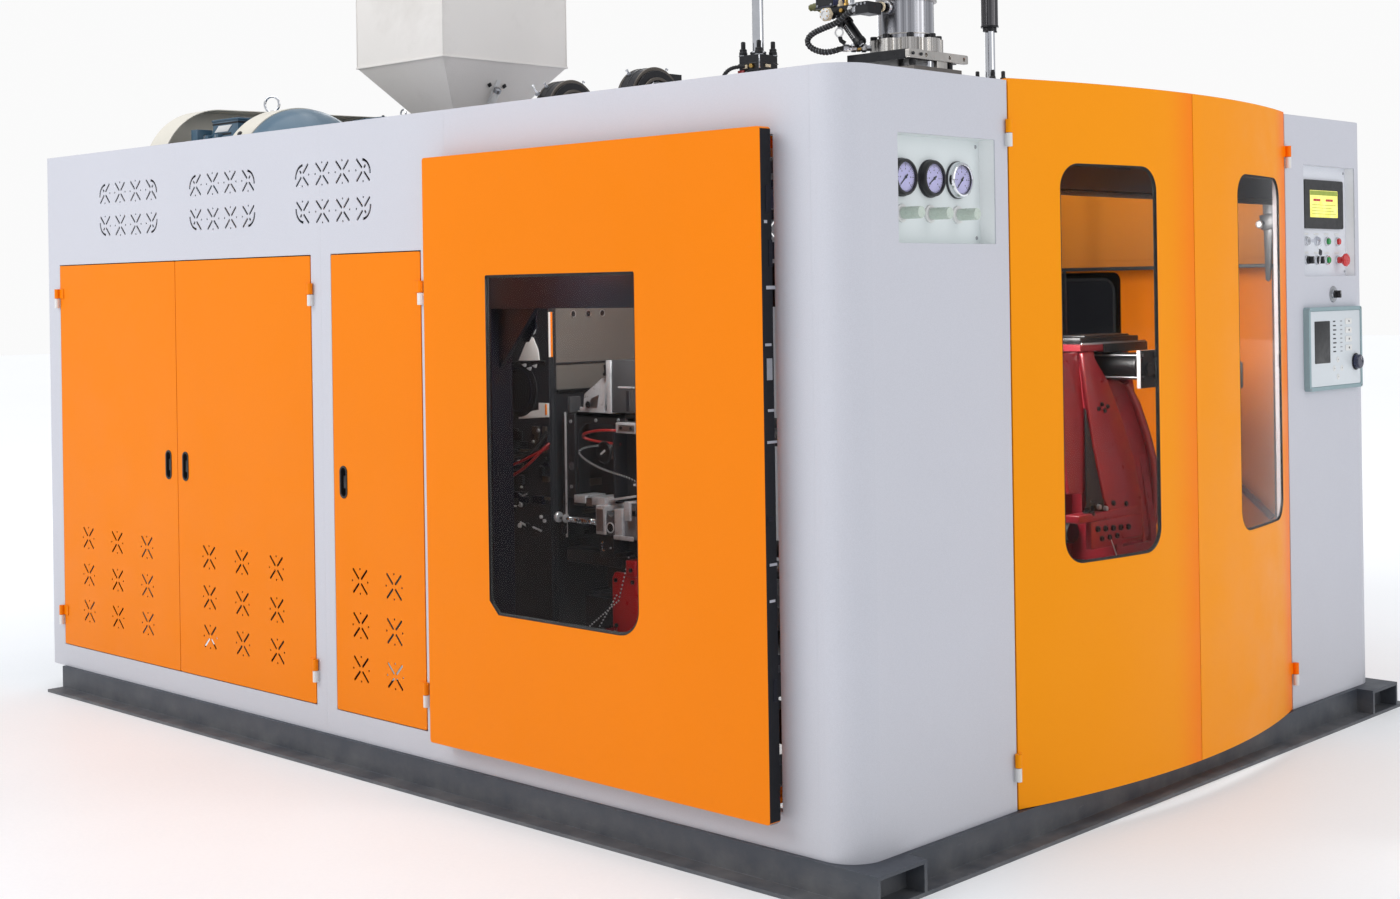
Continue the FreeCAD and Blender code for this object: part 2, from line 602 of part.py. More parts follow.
# -------------------------------------------------------- gauges and knobs
def tray(y0, y1, z0, z1, deep, holes):
    """Folded tray set back behind the front face, flange behind the sheet."""
    t = 2.0
    xf = XR - SHEET
    outer = box(XR - deep - t, y0 - t, z0 - t, xf, y1 + t, z1 + t)
    inner = box(XR - deep, y0, z0, xf + 1, y1, z1)
    fl = box(xf - t, y0 - 7, z0 - 18, xf, y1 + 7, z1 + 18)
    return cut(fuse(outer, fl), inner, holes)


GX = XR - GAUGE_DEEP
holes = [cyl(GX - 5, y, 1579, 30.2, 10, "X") for y in GAUGES]
holes += [cyl(GX - 5, y, 1498, 9.0, 10, "X") for y in GAUGES]
save("gauge_panel", tray(GAUGE_Y[0], GAUGE_Y[1], GAUGE_Z[0], GAUGE_Z[1], GAUGE_DEEP, holes))
gs = []
for y in GAUGES:
    g = fuse(cyl(GX - 34, y, 1579, 30, 34, "X"), cyl(GX, y, 1579, 44, 5, "X"),
             cyl(GX + 5, y, 1579, 38, 13, "X"), cyl(GX - 60, y, 1579, 7, 26, "X"))
    g = g.cut(cyl(GX + 13, y, 1579, 34, 6, "X"))
    gs.append(g)
save("pressure_gauges", group(gs))
for n, y in zip(("left", "middle", "right"), GAUGES):
    k = fuse(cyl(GX + 8, y, 1498, 14, 46, "X"), cyl(GX + 54, y, 1498, 13.2, 4, "X"))
    ribs = []
    for i in range(18):
        t = 2 * math.pi * i / 18
        ribs.append(cyl(GX + 14, y + 14.4 * math.cos(t), 1498 + 14.4 * math.sin(t), 1.0, 32, "X"))
    k = cut(k, ribs)
    k = fuse(k, cyl(GX - 20, y, 1498, 8.95, 29, "X"))
    save("regulator_knob_%s" % n, k)

# ------------------------------------------------------------ control desk
CX_ = XR - CTRL_DEEP
holes = []
for z in BTN_Z:
    for y in BTN_Y:
        holes.append(cyl(CX_ - 5, y, z, 11.2, 10, "X"))
holes.append(box(CX_ - 5, 915, 1500, CX_ + 5, 1142, 1625))
save("control_panel", tray(CTRL_Y[0], CTRL_Y[1], CTRL_Z[0], CTRL_Z[1], CTRL_DEEP, holes))

tp = fuse(rect(900, 1489, 1157, 1636, 8, "YZ", CX_, CX_ + 9),
          box(CX_ - 40, 918, 1503, CX_, 1139, 1622))
tp = tp.cut(rect(934, 1522, 1122, 1606, 1.5, "YZ", CX_ + 7.5, CX_ + 12))
save("touch_panel", tp)

bz = []
for x, y, z in [(CX_, y, z) for z in BTN_Z for y in BTN_Y] + [(XR, ROTARY[0], ROTARY[1])]:
    b = fuse(cyl(x, y, z, 14.5, 3.5, "X"), cyl(x + 3.5, y, z, 13.2, 3.5, "X"),
             cyl(x - 26, y, z, 11.1, 26, "X"))
    b = b.cut(cyl(x - 20, y, z, 10.05, 40, "X"))
    bz.append(b)
save("button_bezels", group(bz))

# lock barrel with a key in it
ky, kz = BTN_Y[0], BTN_Z[0]
lock = fuse(cyl(CX_ - 14, ky, kz, 10.0, 22, "X"), cyl(CX_ + 8, ky, kz, 11.5, 3, "X"))
lock = lock.cut(box(CX_ + 7, ky - 1.1, kz - 5, CX_ + 12, ky + 1.1, kz + 5))
blade = box(CX_ + 7, ky - 1.0, kz - 4.5, CX_ + 26, ky + 1.0, kz + 4.5)
bow = cyl(CX_ + 36, ky - 1.0, kz, 12, 2, "Y").cut(cyl(CX_ + 42, ky - 2, kz, 3, 4, "Y"))
key = fuse(blade, bow)
save("key_switch", fuse(lock, key))


def push_button(y, z, r=10.0, cap=9.4, out=9.0):
    return fuse(cyl(CX_ - 12, y, z, r, 18, "X"), cyl(CX_ + 6, y, z, cap, out - 6 + 2, "X"),
                cyl(CX_ + out + 2, y, z, cap - 1.0, 0.8, "X"))


save("dark_red_button", push_button(BTN_Y[1], BTN_Z[0]))
save("green_button", push_button(BTN_Y[2], BTN_Z[0]))
save("red_button", push_button(BTN_Y[3], BTN_Z[0]))
save("lower_green_button", push_button(BTN_Y[2], BTN_Z[1]))


def selector(x, y, z):
    k = fuse(cyl(x - 14, y, z, 10.0, 20, "X"), cyl(x + 6, y, z, 10.0, 2, "X"), cyl(x + 7.5, y, z, 11.6, 5, "X"),
             rect(y - 4, z - 11, y + 4, z + 11, 3.5, "YZ", x + 12.5, x + 25))
    return k


save("left_selector", selector(CX_, BTN_Y[0], BTN_Z[1]))
save("right_selector", selector(CX_, BTN_Y[1], BTN_Z[1]))
save("rotary_switch", selector(XR, *ROTARY))
ys, zs = BTN_Y[3], BTN_Z[1]
mush = fuse(cyl(CX_ - 12, ys, zs, 10.0, 32, "X"), cone(CX_ + 20, ys, zs, 14, 20, 7, "X"),
            cyl(CX_ + 27, ys, zs, 20, 5, "X"), cone(CX_ + 32, ys, zs, 20, 15, 4, "X"))
save("stop_button", mush)

unit = fuse(rect(UNIT_Y[0], UNIT_Z[0], UNIT_Y[1], UNIT_Z[1], 9, "YZ", XR, XR + UNIT_THICK),
            box(XR - 70, UNIT_Y[0] + 16, UNIT_Z[0] + 16, XR, UNIT_Y[1] - 16, UNIT_Z[1] - 16))
unit = unit.cut(rect(UNIT_Y[0] + 11, UNIT_Z[0] + 11, UNIT_Y[1] - 11, UNIT_Z[1] - 11, 5,
                     "YZ", XR + UNIT_THICK - 2, XR + UNIT_THICK + 2))
unit = unit.cut(cyl(XR + 2, UNIT_KNOB[0], UNIT_KNOB[1], 5.05, 30, "X"))
save("program_unit", unit)
kn = fuse(cyl(XR + 4, UNIT_KNOB[0], UNIT_KNOB[1], 5.0, 14, "X"),
          cyl(XR + UNIT_THICK, UNIT_KNOB[0], UNIT_KNOB[1], 22, 14, "X"),
          cone(XR + UNIT_THICK + 14, UNIT_KNOB[0], UNIT_KNOB[1], 22, 19, 3, "X"))
kn = kn.cut(cyl(XR + UNIT_THICK + 14.5, UNIT_KNOB[0] + 12, UNIT_KNOB[1], 4, 4, "X"))
save("program_knob", kn)

# ------------------------------------------------------------ clamp stations
BED_Z = (440.0, 500.0)
TOP_Z = 1153.0
BAR_R = 24.0
BARS_Z = (590.0, 940.0)
BAR_DY = 150.0
FIX_X = MOULD_X - 340      # inner face of the fixed plate
MOV_X = MOULD_X + 260      # inner face of the moving plate at rest
PULL_Z = 372.0             # clamp cylinder, under the bed
PULL_X = (MOULD_X - 332, MOULD_X + 68)
CAST = 200.0               # depth of the moving plate's ribs


def carriage():
    y = -STATION_Y
    out = [box(XR - 1290, y - 190, BED_Z[0], XR - 204, y + 190, BED_Z[1])]
    for x in RAIL_X:
        out.append(box(x - 34, y - 130, 378, x + 34, y + 130, BED_Z[0]))
    # fixed plate with two back ribs
    out.append(box(FIX_X - 60, y - 190, BED_Z[1], FIX_X, y + 190, TOP_Z - 30))
    for dy in (-110, 80):
        out.append(box(FIX_X - 88, y + dy, BED_Z[1], FIX_X - 60, y + dy + 30, TOP_Z - 90))
    # guide bars held by the fixed plate, with a nut at the free end
    for dy in (-BAR_DY, BAR_DY):
        for z in BARS_Z:
            out.append(cyl(FIX_X - 30, y + dy, z, BAR_R, MOV_X + 62 - FIX_X + 30, "X"))
            out.append(cyl(MOV_X + 50, y + dy, z, 32, 22, "X"))
    # the clamp cylinder hangs under the bed
    out.append(cyl(PULL_X[0], y, PULL_Z, 44, PULL_X[1] - PULL_X[0], "X"))
    for x in (PULL_X[0] + 20, PULL_X[1] - 65):
        out.append(box(x, y - 34, PULL_Z, x + 45, y + 34, BED_Z[0]))
    for x in (PULL_X[0] + 44, PULL_X[1] - 44):
        out.append(cyl(x, y + 38, PULL_Z, 9, 20, "Y"))
    s = fuse(out)
    s = cut(s, cyl(PULL_X[0] + 14, y, PULL_Z, 34, PULL_X[1] - PULL_X[0] - 29, "X"),
            cyl(PULL_X[1] - 20, y, PULL_Z, 18.06, 40, "X"),
            box(MOV_X + 8 - CLAMP_TRAVEL - 6, y - 30, BED_Z[0] - 10, MOV_X + 51, y + 30, BED_Z[1] + 10))
    # the blocks run on the rails
    for x in RAIL_X:
        s = s.cut(box(x - 14.5, y - 140, 370, x + 14.5, y + 140, 396.5))
    return s


def front_platen():
    """Cast moving plate with slanted A-shaped ribs, a top shelf and a small cylinder on it."""
    y = -STATION_Y
    x = MOV_X
    zb = BED_Z[1] + 6
    out = [box(x, y - 185, zb, x + 45, y + 185, TOP_Z - 20)]
    for dy in (-112, 82):
        rib = plate([(x + 45, zb), (x + 45, TOP_Z - 20), (x + 110, TOP_Z - 20), (x + 135, 980),
                     (x + CAST, zb + 90), (x + CAST, zb)], 0, "XZ", y + dy, y + dy + 30)
        hole = plate([(x + 80, 960), (x + 98, 960), (x + CAST - 52, zb + 120), (x + 80, zb + 120)],
                     8, "XZ", y + dy - 2, y + dy + 32)
        out.append(rib.cut(hole))
    out.append(box(x + 45, y - 112, zb, x + CAST, y + 112, zb + 45))
    out.append(box(x - 20, y - 185, TOP_Z - 20, x + 130, y + 185, TOP_Z))
    s = fuse(out)
    tools = []
    for dy in (-BAR_DY, BAR_DY):
        for z in BARS_Z:
            tools.append(cyl(x - 5, y + dy, z, BAR_R + 0.06, 70, "X"))
    s = s.cut(tools)
    # lug through the slot of the bed, with the rod and piston that pull it
    s = fuse(s, box(x + 8, y - 26, 340, x + 45, y + 26, zb + 20),
             cyl(PULL_X[1] - 35, y, PULL_Z, 18, x + 12 - PULL_X[1] + 35, "X"),
             cyl(PULL_X[1] - 45, y, PULL_Z, 33.93, 20, "X"), cyl(x + 45, y, PULL_Z, 24, 14, "X"))
    # the small cylinder under the top shelf
    c = fuse(cyl(x + 45, y, 1084, 41, 190, "X"), box(x + 235, y - 46, 1020, x + 247, y + 46, 1132))
    return fuse(s, c)


ca, fp = carriage(), front_platen()
save("near_carriage", ca)
save("far_carriage", mirror(ca))
save("near_front_platen", fp)
save("far_front_platen", mirror(fp))


# ------------------------------------------------------------ blow cylinders
def blow_cylinder(y):
    b = [plate([(PIN_X - 38, y - 38), (PIN_X + 38, y - 38), (PIN_X + 38, y + 38),
                (PIN_X - 38, y + 38)], 3, "XY", 1931, 1975),
         plate([(PIN_X - 38, y - 38), (PIN_X + 38, y - 38), (PIN_X + 38, y + 38),
                (PIN_X - 38, y + 38)], 3, "XY", 1670, 1706),
         cyl(PIN_X, y, 1706, 31, 225), cyl(PIN_X, y, 1975, 22, 6)]
    s = fuse(b)
    s = s.cut(cyl(PIN_X, y, 1630, 16.05, 400)).cut(cyl(PIN_X, y, 1720, 26.0, 205))
    studs = []
    for dx in (-29, 29):
        for dy in (-29, 29):
            studs.append(cyl(PIN_X + dx, y + dy, 1671, 4.5, 336))
            hexa = []
            for z, h in ((1975, 8), (1985, 7)):
                pts = [(PIN_X + dx + 9 * math.cos(math.radians(60 * i)),
                        y + dy + 9 * math.sin(math.radians(60 * i))) for i in range(6)]
                hexa.append(plate(pts, 0, "XY", z, z + h))
            studs += hexa
            studs.append(cyl(PIN_X + dx, y + dy, 1976, 4.5, 38))
    return fuse(s, studs)


save("blow_cylinders", group([blow_cylinder(-STATION_Y), blow_cylinder(STATION_Y)]))


def blow_rod(y):
    return fuse(cyl(PIN_X, y, 1262, 16, 890), cyl(PIN_X, y, 2152, 27, 290),
                cyl(PIN_X, y, 1860, 25.93, 55), cyl(PIN_X, y, 1222, 20, 58),
                cone(PIN_X, y, 1196, 11, 16, 26), cyl(PIN_X, y, 2442, 18, 14),
                cyl(PIN_X, y, 1262, 22, 26))


save("near_blow_rod", blow_rod(-STATION_Y))
save("far_blow_rod", blow_rod(STATION_Y))

# ------------------------------------------------------------ extrusion head
hd = fuse(box(HEAD_X - 115, -115, 1700, HEAD_X + 115, 115, 1965),
          cyl(HEAD_X, 0, 1380, 86, 320), cyl(HEAD_X, 0, 1310, 70, 70),
          cone(HEAD_X, 0, 1282, 44, 62, 28),
          [cyl(HEAD_X + dx, dy, 1965, 9, 20) for dx in (-90, 90) for dy in (-90, 90)],
          rect(HEAD_X - 125, -125, HEAD_X + 92, 125, 6, "XY", 1985, 2013),
          # bracket arm along the front edge of the plate
          rect(-125, 1987, 160, 2013, 5, "YZ", HEAD_X + 92, HEAD_X + 106))
hd = hd.cut([cyl(HEAD_X + 98, y, 2000, 6, 20, "X") for y in (-44, 70, 140)])
hd = hd.cut(cyl(HEAD_X - 130, 0, AXIS_Z, 56, 40, "X"))
save("die_head", hd)

hc = fuse(cyl(HEAD_X, 0, 2013, 108, 40), cyl(HEAD_X, 0, 2053, 82, 112),
          cyl(HEAD_X, 0, 2165, 90, 38), cyl(HEAD_X, 0, 2203, 70, 60), cyl(HEAD_X, 0, 2263, 52, 14))
sc = []
for i in range(8):
    t = math.radians(22.5 + 45 * i)
    sc.append(cyl(HEAD_X + 112 * math.cos(t), 112 * math.sin(t), 2000, 16, 60))
hc = hc.cut(sc)
bolts = []
for i in range(8):
    t = math.radians(45 * i)
    bolts.append(cyl(HEAD_X + 95 * math.cos(t), 95 * math.sin(t), 2053, 7.5, 9))
hu = V(116.0, 150.0, 0)
hu.normalize()
hc = fuse(hc, bolts, Part.makeCylinder(9, 45, V(HEAD_X, 0, 2033) - hu * 148, hu))
save("head_cylinder", hc)

VX, VY, VZ = HEAD_X - 160, -152, 2136
valve = fuse(box(VX - 34, VY - 26, VZ + 16, VX + 34, VY + 26, VZ + 96),
             box(VX - 14, VY - 22, VZ - 10, VX + 130, VY + 22, VZ + 16),
             cyl(VX + 26, VY - 46, VZ - 8, 12, 26, "Y"), cyl(VX - 64, VY, VZ + 28, 7, 32, "X"),
             box(VX + 128, VY - 42, VZ - 18, VX + 172, VY + 22, VZ + 16))
# pipe into the cylinder
d = V(HEAD_X - VX - 150, -VY, 0)
d.normalize()
valve = fuse(valve, Part.makeCylinder(11, 90.0, V(VX + 150, VY, VZ + 8) + d * 10, d))
valve = valve.cut(cyl(HEAD_X, 0, 2053, 82.05, 112)).cut(cyl(HEAD_X, 0, 2165, 90.05, 38))
# filter that hangs slanted below it
fd = V(80, 0, -100)
fd.normalize()
valve = fuse(valve, Part.makeCylinder(17, 118, V(VX + 30, VY + 12, VZ - 4), fd))
save("servo_valve", valve)

# spiral wrapped hose from the valve round to the head's flange
he = V(HEAD_X, 0, 2033) - hu * 148
hs = he - hu * 41
hose = route([(VX + 128, VY - 33, 2132), (VX + 100, VY - 33, 2132), (VX + 53, VY - 33, 2102),
              (VX - 3, VY - 33, 2092), (VX - 49, VY - 33, 2080), (VX - 67, VY - 33, 2060),
              (VX - 51, VY - 27, 2037), (VX - 7, VY - 24, 2022), (VX + 28, VY - 18, 2024),
              (hs.x, hs.y, 2033), (he.x, he.y, 2033)], 8.0, None)
save("valve_hose", hose)

# knife arm that swings under the die
knife_z = 1235.0
kf = fuse(cyl(KN_X, KN_Y, knife_z, 20, 150),
          box(KN_X, KN_Y - 10, knife_z, KN_X + 270, KN_Y + 10, knife_z + 12),
          box(KN_X + 120, KN_Y - 3, knife_z + 12, KN_X + 268, KN_Y + 3, knife_z + 16))
kf = kf.cut(cyl(KN_X, KN_Y, knife_z - 5, 8.05, 400))
save("knife_arm", kf)

# --------------------------------------------------------------- extruder
GB_X = (XR - 3330, XR - 3150)
gear = fuse(rect(GB_X[0], -170, GB_X[1], 170, 18, "XY", 1700, 1996),
            cyl(GB_X[0] + 50, 40, 1996, 16, 14),
            cyl(GB_X[1], 0, AXIS_Z, 80, 26, "X"), cyl(GB_X[0] - 20, 0, AXIS_Z, 55, 20, "X"))
gear = gear.cut(cyl(GB_X[0] + 30, 0, AXIS_Z, 28.05, 300, "X"))
save("gearbox", gear)

BX0 = GB_X[1] + 26
barrel = fuse(cyl(BX0, 0, AXIS_Z, 70, 24, "X"), box(BX0 + 24, -95, AXIS_Z - 85, HOPPER_X + 110, 95, AXIS_Z + 85),
              cyl(HOPPER_X + 110, 0, AXIS_Z, 52, HEAD_X - 115 - HOPPER_X - 110, "X"),
              cyl(HEAD_X - 175, 0, AXIS_Z, 88, 60, "X"),
              [box(x, -RAIL_B, 1700, x + 20, RAIL_B, AXIS_Z - 45) for x in (XR - 2060,)])
barrel = barrel.cut(cyl(BX0 - 1, 0, AXIS_Z, 30.05, HEAD_X - BX0 - 110, "X"))
barrel = barrel.cut(cyl(HOPPER_X, 0, AXIS_Z, 42, 120))
save("extruder_barrel", barrel)

sx0, sx1 = GB_X[0] + 40, HEAD_X - 190
core = fuse(cyl(sx0, 0, AXIS_Z, 28, BX0 + 30 - sx0, "X"), cyl(BX0 + 24, 0, AXIS_Z, 22, sx1 - BX0 - 24, "X"),
            cone(sx1, 0, AXIS_Z, 22, 3, 40, "X"))
fl = []
n = int((sx1 - BX0 - 60) / 60)
for i in range(n):
    fl.append(cyl(BX0 + 60 + i * 60, 0, AXIS_Z, 30, 8, "X"))
save("extruder_screw", fuse(core, fl))

# hopper: pyramid and square bin, open at the top
a, b = HOPPER_A / 2, HOPPER_B / 2
FEED_Z = AXIS_Z + 85


def loft(z0, a0, b0, z1, a1, b1):
    w = []
    for z, p, q in ((z0, a0, b0), (z1, a1, b1)):
        pts = [V(HOPPER_X - p, -q, z), V(HOPPER_X + p, -q, z), V(HOPPER_X + p, q, z), V(HOPPER_X - p, q, z)]
        w.append(Part.makePolygon(pts + [pts[0]]))
    return Part.makeLoft(w, True, True)


hop = fuse(loft(FEED_Z + 8, 104, 124, HOPPER_RIM, a, b),
           box(HOPPER_X - a, -b, HOPPER_RIM, HOPPER_X + a, b, HOPPER_TOP),
           box(HOPPER_X - a - 16, -b - 16, HOPPER_TOP - 3, HOPPER_X + a + 16, b + 16, HOPPER_TOP),
           rect(HOPPER_X - 112, -132, HOPPER_X + 112, 132, 6, "XY", FEED_Z, FEED_Z + 8))
hol = fuse(loft(FEED_Z + 8, 100, 120, HOPPER_RIM, a - 3, b - 3),
           box(HOPPER_X - a + 3, -b + 3, HOPPER_RIM, HOPPER_X + a - 3, b - 3, HOPPER_TOP + 5))
hop = hop.cut(hol).cut(cyl(HOPPER_X, 0, FEED_Z - 5, 42, 60))
save("hopper", hop)


def blower(x, z0, top):
    """Barrel cooling fan: flat round case with a grille, and a duct that seats on the barrel."""
    y0, r, w = -160.0, 110.0, 78.0
    s = fuse(cyl(x - w, y0, z0, r, w - 10, "X"), cyl(x - 10, y0, z0, r - 10, 10, "X"),
             box(x - w + 8, y0, z0 + top - 50, x - 14, y0 + r + 14, z0 + top),
             box(x - w + 10, y0, AXIS_Z - 25, x - 16, -30, AXIS_Z + 25),
             box(x - w + 20, y0 + 10, 1700, x - 26, y0 + 60, z0 - 60))
    s = s.cut(cyl(x - 34, y0, z0, 66, 40, "X"))
    rings = [tube(x - 5, y0, z0, q + 2.5, q - 2.5, 5, "X") for q in (54, 40, 26)]
    spokes = []
    for i in range(4):
        t = Part.makeBox(4, 134, 5, V(x - 5, y0 - 67, z0 - 2.5))
        t.rotate(V(x, y0, z0), V(1, 0, 0), 45 * i)
        spokes.append(t)
    hub = cyl(x - 36, y0, z0, 17, 36, "X")
    s = fuse(s, rings, spokes, hub)
    return s.cut(cyl(HOPPER_X + 110, 0, AXIS_Z, 52.02, 2500, "X"))


save("barrel_blowers", group([blower(XR - 2086, 1930, 34), blower(XR - 1690, 1936, 96)]))

# drive motor with feet, terminal box and rounded end
MX0, MX1 = GUARD_X[1] + 24, BAND_X[1]
HOOD_R, HOOD_Z = 262.0, 1711.0     # rounded hood over the fan end
hood_room = box(BAND_X[0] - 5, MOTOR_Y - 400, 1545, MX1 + 400, MOTOR_Y + 400, 2100)
ex, ez = BAND_X[0] - 73, MOTOR_Z + 172
eye = fuse(Part.makeTorus(27, 4.5, V(ex, MOTOR_Y, ez + 67), V(0.5, -0.85, 0)), cyl(ex, MOTOR_Y, ez - 3, 9, 40))
mt = fuse(eye, cyl(MX0, MOTOR_Y, MOTOR_Z, 172, BAND_X[0] - MX0, "X"),
          cyl(BAND_X[0], MOTOR_Y, HOOD_Z, HOOD_R, MX1 - BAND_X[0], "X").common(hood_room),
          cyl(MX0 - 40, MOTOR_Y, MOTOR_Z, 60, 40, "X"), cyl(MX0 - 110, MOTOR_Y, MOTOR_Z, 24, 80, "X"),
          cyl(MX0 - 112, MOTOR_Y, MOTOR_Z, 85, 74, "X"),
          box(MX0 + 60, MOTOR_Y - 160, 1500, BAND_X[0] - 30, MOTOR_Y + 160, 1530),
          box(MX0 + 80, MOTOR_Y - 120, 1530, BAND_X[0] - 50, MOTOR_Y + 120, 1660),
          box(MX0 + 90, MOTOR_Y - 105, MOTOR_Z + 130, MX0 + 250, MOTOR_Y + 105, MOTOR_Z + 190),
          box(MX0 + 20, MOTOR_Y - 150, MOTOR_Z + 90, MX0 + 60, MOTOR_Y - 90, MOTOR_Z + 160))
dome = Part.makeSphere(HOOD_R, V(0, 0, 0))
mat = FreeCAD.Matrix()
mat.scale(V(DOME / HOOD_R, 1.0, 1.0))
dome = dome.transformGeometry(mat)
dome.translate(V(MX1, MOTOR_Y, HOOD_Z))
dome = dome.common(box(MX1, MOTOR_Y - 400, 1545, MX1 + 300, MOTOR_Y + 400, 2100))
mt = fuse(mt, dome)
save("drive_motor", mt)

# belt guard: sheet case round both pulleys, open towards the motor
G_FAR_Z = MOTOR_Z + 12


def guard_solid(r, x0, x1):
    near = cyl(x0, MOTOR_Y, MOTOR_Z, r, x1 - x0, "X")
    farc = cyl(x0, 0, G_FAR_Z, r, x1 - x0, "X")
    dy, dz = -MOTOR_Y, G_FAR_Z - MOTOR_Z
    l = math.hypot(dy, dz)
    ny, nz = -dz / l * r, dy / l * r
    pts = [(MOTOR_Y + ny, MOTOR_Z + nz), (ny, G_FAR_Z + nz), (-ny, G_FAR_Z - nz),
           (MOTOR_Y - ny, MOTOR_Z - nz)]
    return fuse(near, farc, plate(pts, 0, "YZ", x0, x1))


guard = guard_solid(245, GUARD_X[0], GUARD_X[1]).cut(guard_solid(242, GUARD_X[0] + 3, GUARD_X[1] + 5))
gfeet = [box(GUARD_X[1] - 26, y - 60, 1500, GUARD_X[1] - 2, y + 60, z + 1.5)
         for y, z in ((MOTOR_Y, MOTOR_Z - 243.5), (0, G_FAR_Z - 243.5))]
band = tube(BAND_X[0], MOTOR_Y, HOOD_Z, HOOD_R + 3.5, HOOD_R, BAND_X[1] - BAND_X[0], "X").common(hood_room)
save("belt_guard", group(fuse(guard, gfeet), band))

# hydraulic tank with its pump set, and the cabinet
tank = fuse(rect(XR - 3312, -900, XR - 2312, -200, 20, "XY", 160, 760),
            box(XR - 3332, -930, 760, XR - 2292, -170, 770))
tank = cut(tank, rect(XR - 3306, -894, XR - 2318, -206, 14, "XY", 166, 760),
           cyl(XR - 2372, -800, 750, 45, 30))
tank = fuse(tank, tube(XR - 2372, -800, 770, 55, 45, 40),
            cyl(XR - 3000, -560, 770, 150, 40), cyl(XR - 3000, -560, 810, 130, 330),
            cyl(XR - 3000, -560, 1140, 136, 60),
            box(XR - 2700, -700, 770, XR - 2440, -420, 930),
            [box(x - 30, y, zb1, x + 30, y + 60, 160) for x in CROSS_X[:2] for y in (-880, -280)])
save("oil_tank", tank)

eb = rect(MID_X[0] + 20, -800, MID_X[1] - 20, -420, 10, "XY", 180, 1420)
eb = cut(eb, rect(MID_X[0] + 23, -797, MID_X[1] - 23, -423, 7, "XY", 183, 1417),
         cyl((MID_X[0] + MID_X[1]) / 2, -600, 170, 60, 20))
eb = fuse(eb, box(MID_X[0] + 60, -440, 260, MID_X[1] - 60, -436, 1340),
          [box(x - 8, -436, z - 8, x + 8, -420, z + 8) for x in (MID_X[0] + 90, MID_X[1] - 90) for z in (300, 1300)],
          [box(x - 20, y, zb1, x + 20, y + 40, 180) for x in CROSS_X[2:4] for y in (-780, -480)])
save("electrical_box", eb)

bb = None
for s in PARTS.values():
    b_ = s.BoundBox
    if bb is None:
        bb = FreeCAD.BoundBox(b_)
    else:
        bb.add(b_)
print("nodes", len(PARTS), "box X %.1f %.1f Y %.1f %.1f Z %.1f %.1f" % (
    bb.XMin, bb.XMax, bb.YMin, bb.YMax, bb.ZMin, bb.ZMax))
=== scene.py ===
import bpy
import bmesh
import math
import random
from mathutils import Matrix, Vector


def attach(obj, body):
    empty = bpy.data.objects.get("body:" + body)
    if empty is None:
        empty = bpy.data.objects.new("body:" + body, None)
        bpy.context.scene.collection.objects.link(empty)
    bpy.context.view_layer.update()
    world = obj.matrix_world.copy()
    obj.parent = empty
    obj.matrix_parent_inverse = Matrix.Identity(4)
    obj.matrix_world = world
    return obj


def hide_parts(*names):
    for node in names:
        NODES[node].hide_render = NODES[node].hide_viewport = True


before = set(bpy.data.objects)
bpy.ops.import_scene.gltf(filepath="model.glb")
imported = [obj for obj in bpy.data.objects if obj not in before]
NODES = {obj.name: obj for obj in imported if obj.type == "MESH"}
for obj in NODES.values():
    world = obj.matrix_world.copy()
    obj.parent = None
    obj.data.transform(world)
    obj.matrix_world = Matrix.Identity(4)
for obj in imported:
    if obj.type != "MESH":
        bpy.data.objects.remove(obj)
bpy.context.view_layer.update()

# Sizes below are in millimetres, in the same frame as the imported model.
XR, XL, YN, YF = 1752.0, -1848.0, -1282.5, 1282.5
ZB, ZT = 80.0, 1820.0
R_DOOR, DOOR_CX, DOOR_CY = 2622.65, -774.65, 27.5
HEAD_X, PIN_X, STATION_Y = 936.0, 847.0, 552.0
MM = 0.001
rng = random.Random(7)


# ------------------------------------------------------------------ camera
def make_camera():
    yaw, roll = math.radians(43.791), math.radians(-0.872)
    fwd = Vector((-math.sin(yaw), math.cos(yaw), 0.0))
    right = Vector((math.cos(yaw), math.sin(yaw), 0.0))
    up = Vector((0.0, 0.0, 1.0))
    r2 = right * math.cos(roll) + up * math.sin(roll)
    u2 = up * math.cos(roll) - right * math.sin(roll)
    cam = bpy.data.cameras.new("camera")
    cam.sensor_fit = "HORIZONTAL"
    cam.sensor_width = 36.0
    cam.lens = 1885.0 / 1400.0 * 36.0
    cam.shift_x = 0.0
    cam.shift_y = -(449.5 - 290.9) / 1400.0
    cam.clip_start, cam.clip_end = 0.1, 100.0
    ob = bpy.data.objects.new("camera", cam)
    bpy.context.scene.collection.objects.link(ob)
    m = Matrix((
        (r2.x, u2.x, -fwd.x, 4.325),
        (r2.y, u2.y, -fwd.y, -4.4265),
        (r2.z, u2.z, -fwd.z, 1.329),
        (0, 0, 0, 1)))
    ob.matrix_world = m
    bpy.context.scene.camera = ob


make_camera()


# --------------------------------------------------------------- materials
def srgb(r, g, b):
    out = []
    for c in (r, g, b):
        c = c / 255.0
        out.append(c / 12.92 if c <= 0.04045 else ((c + 0.055) / 1.055) ** 2.4)
    return tuple(out)


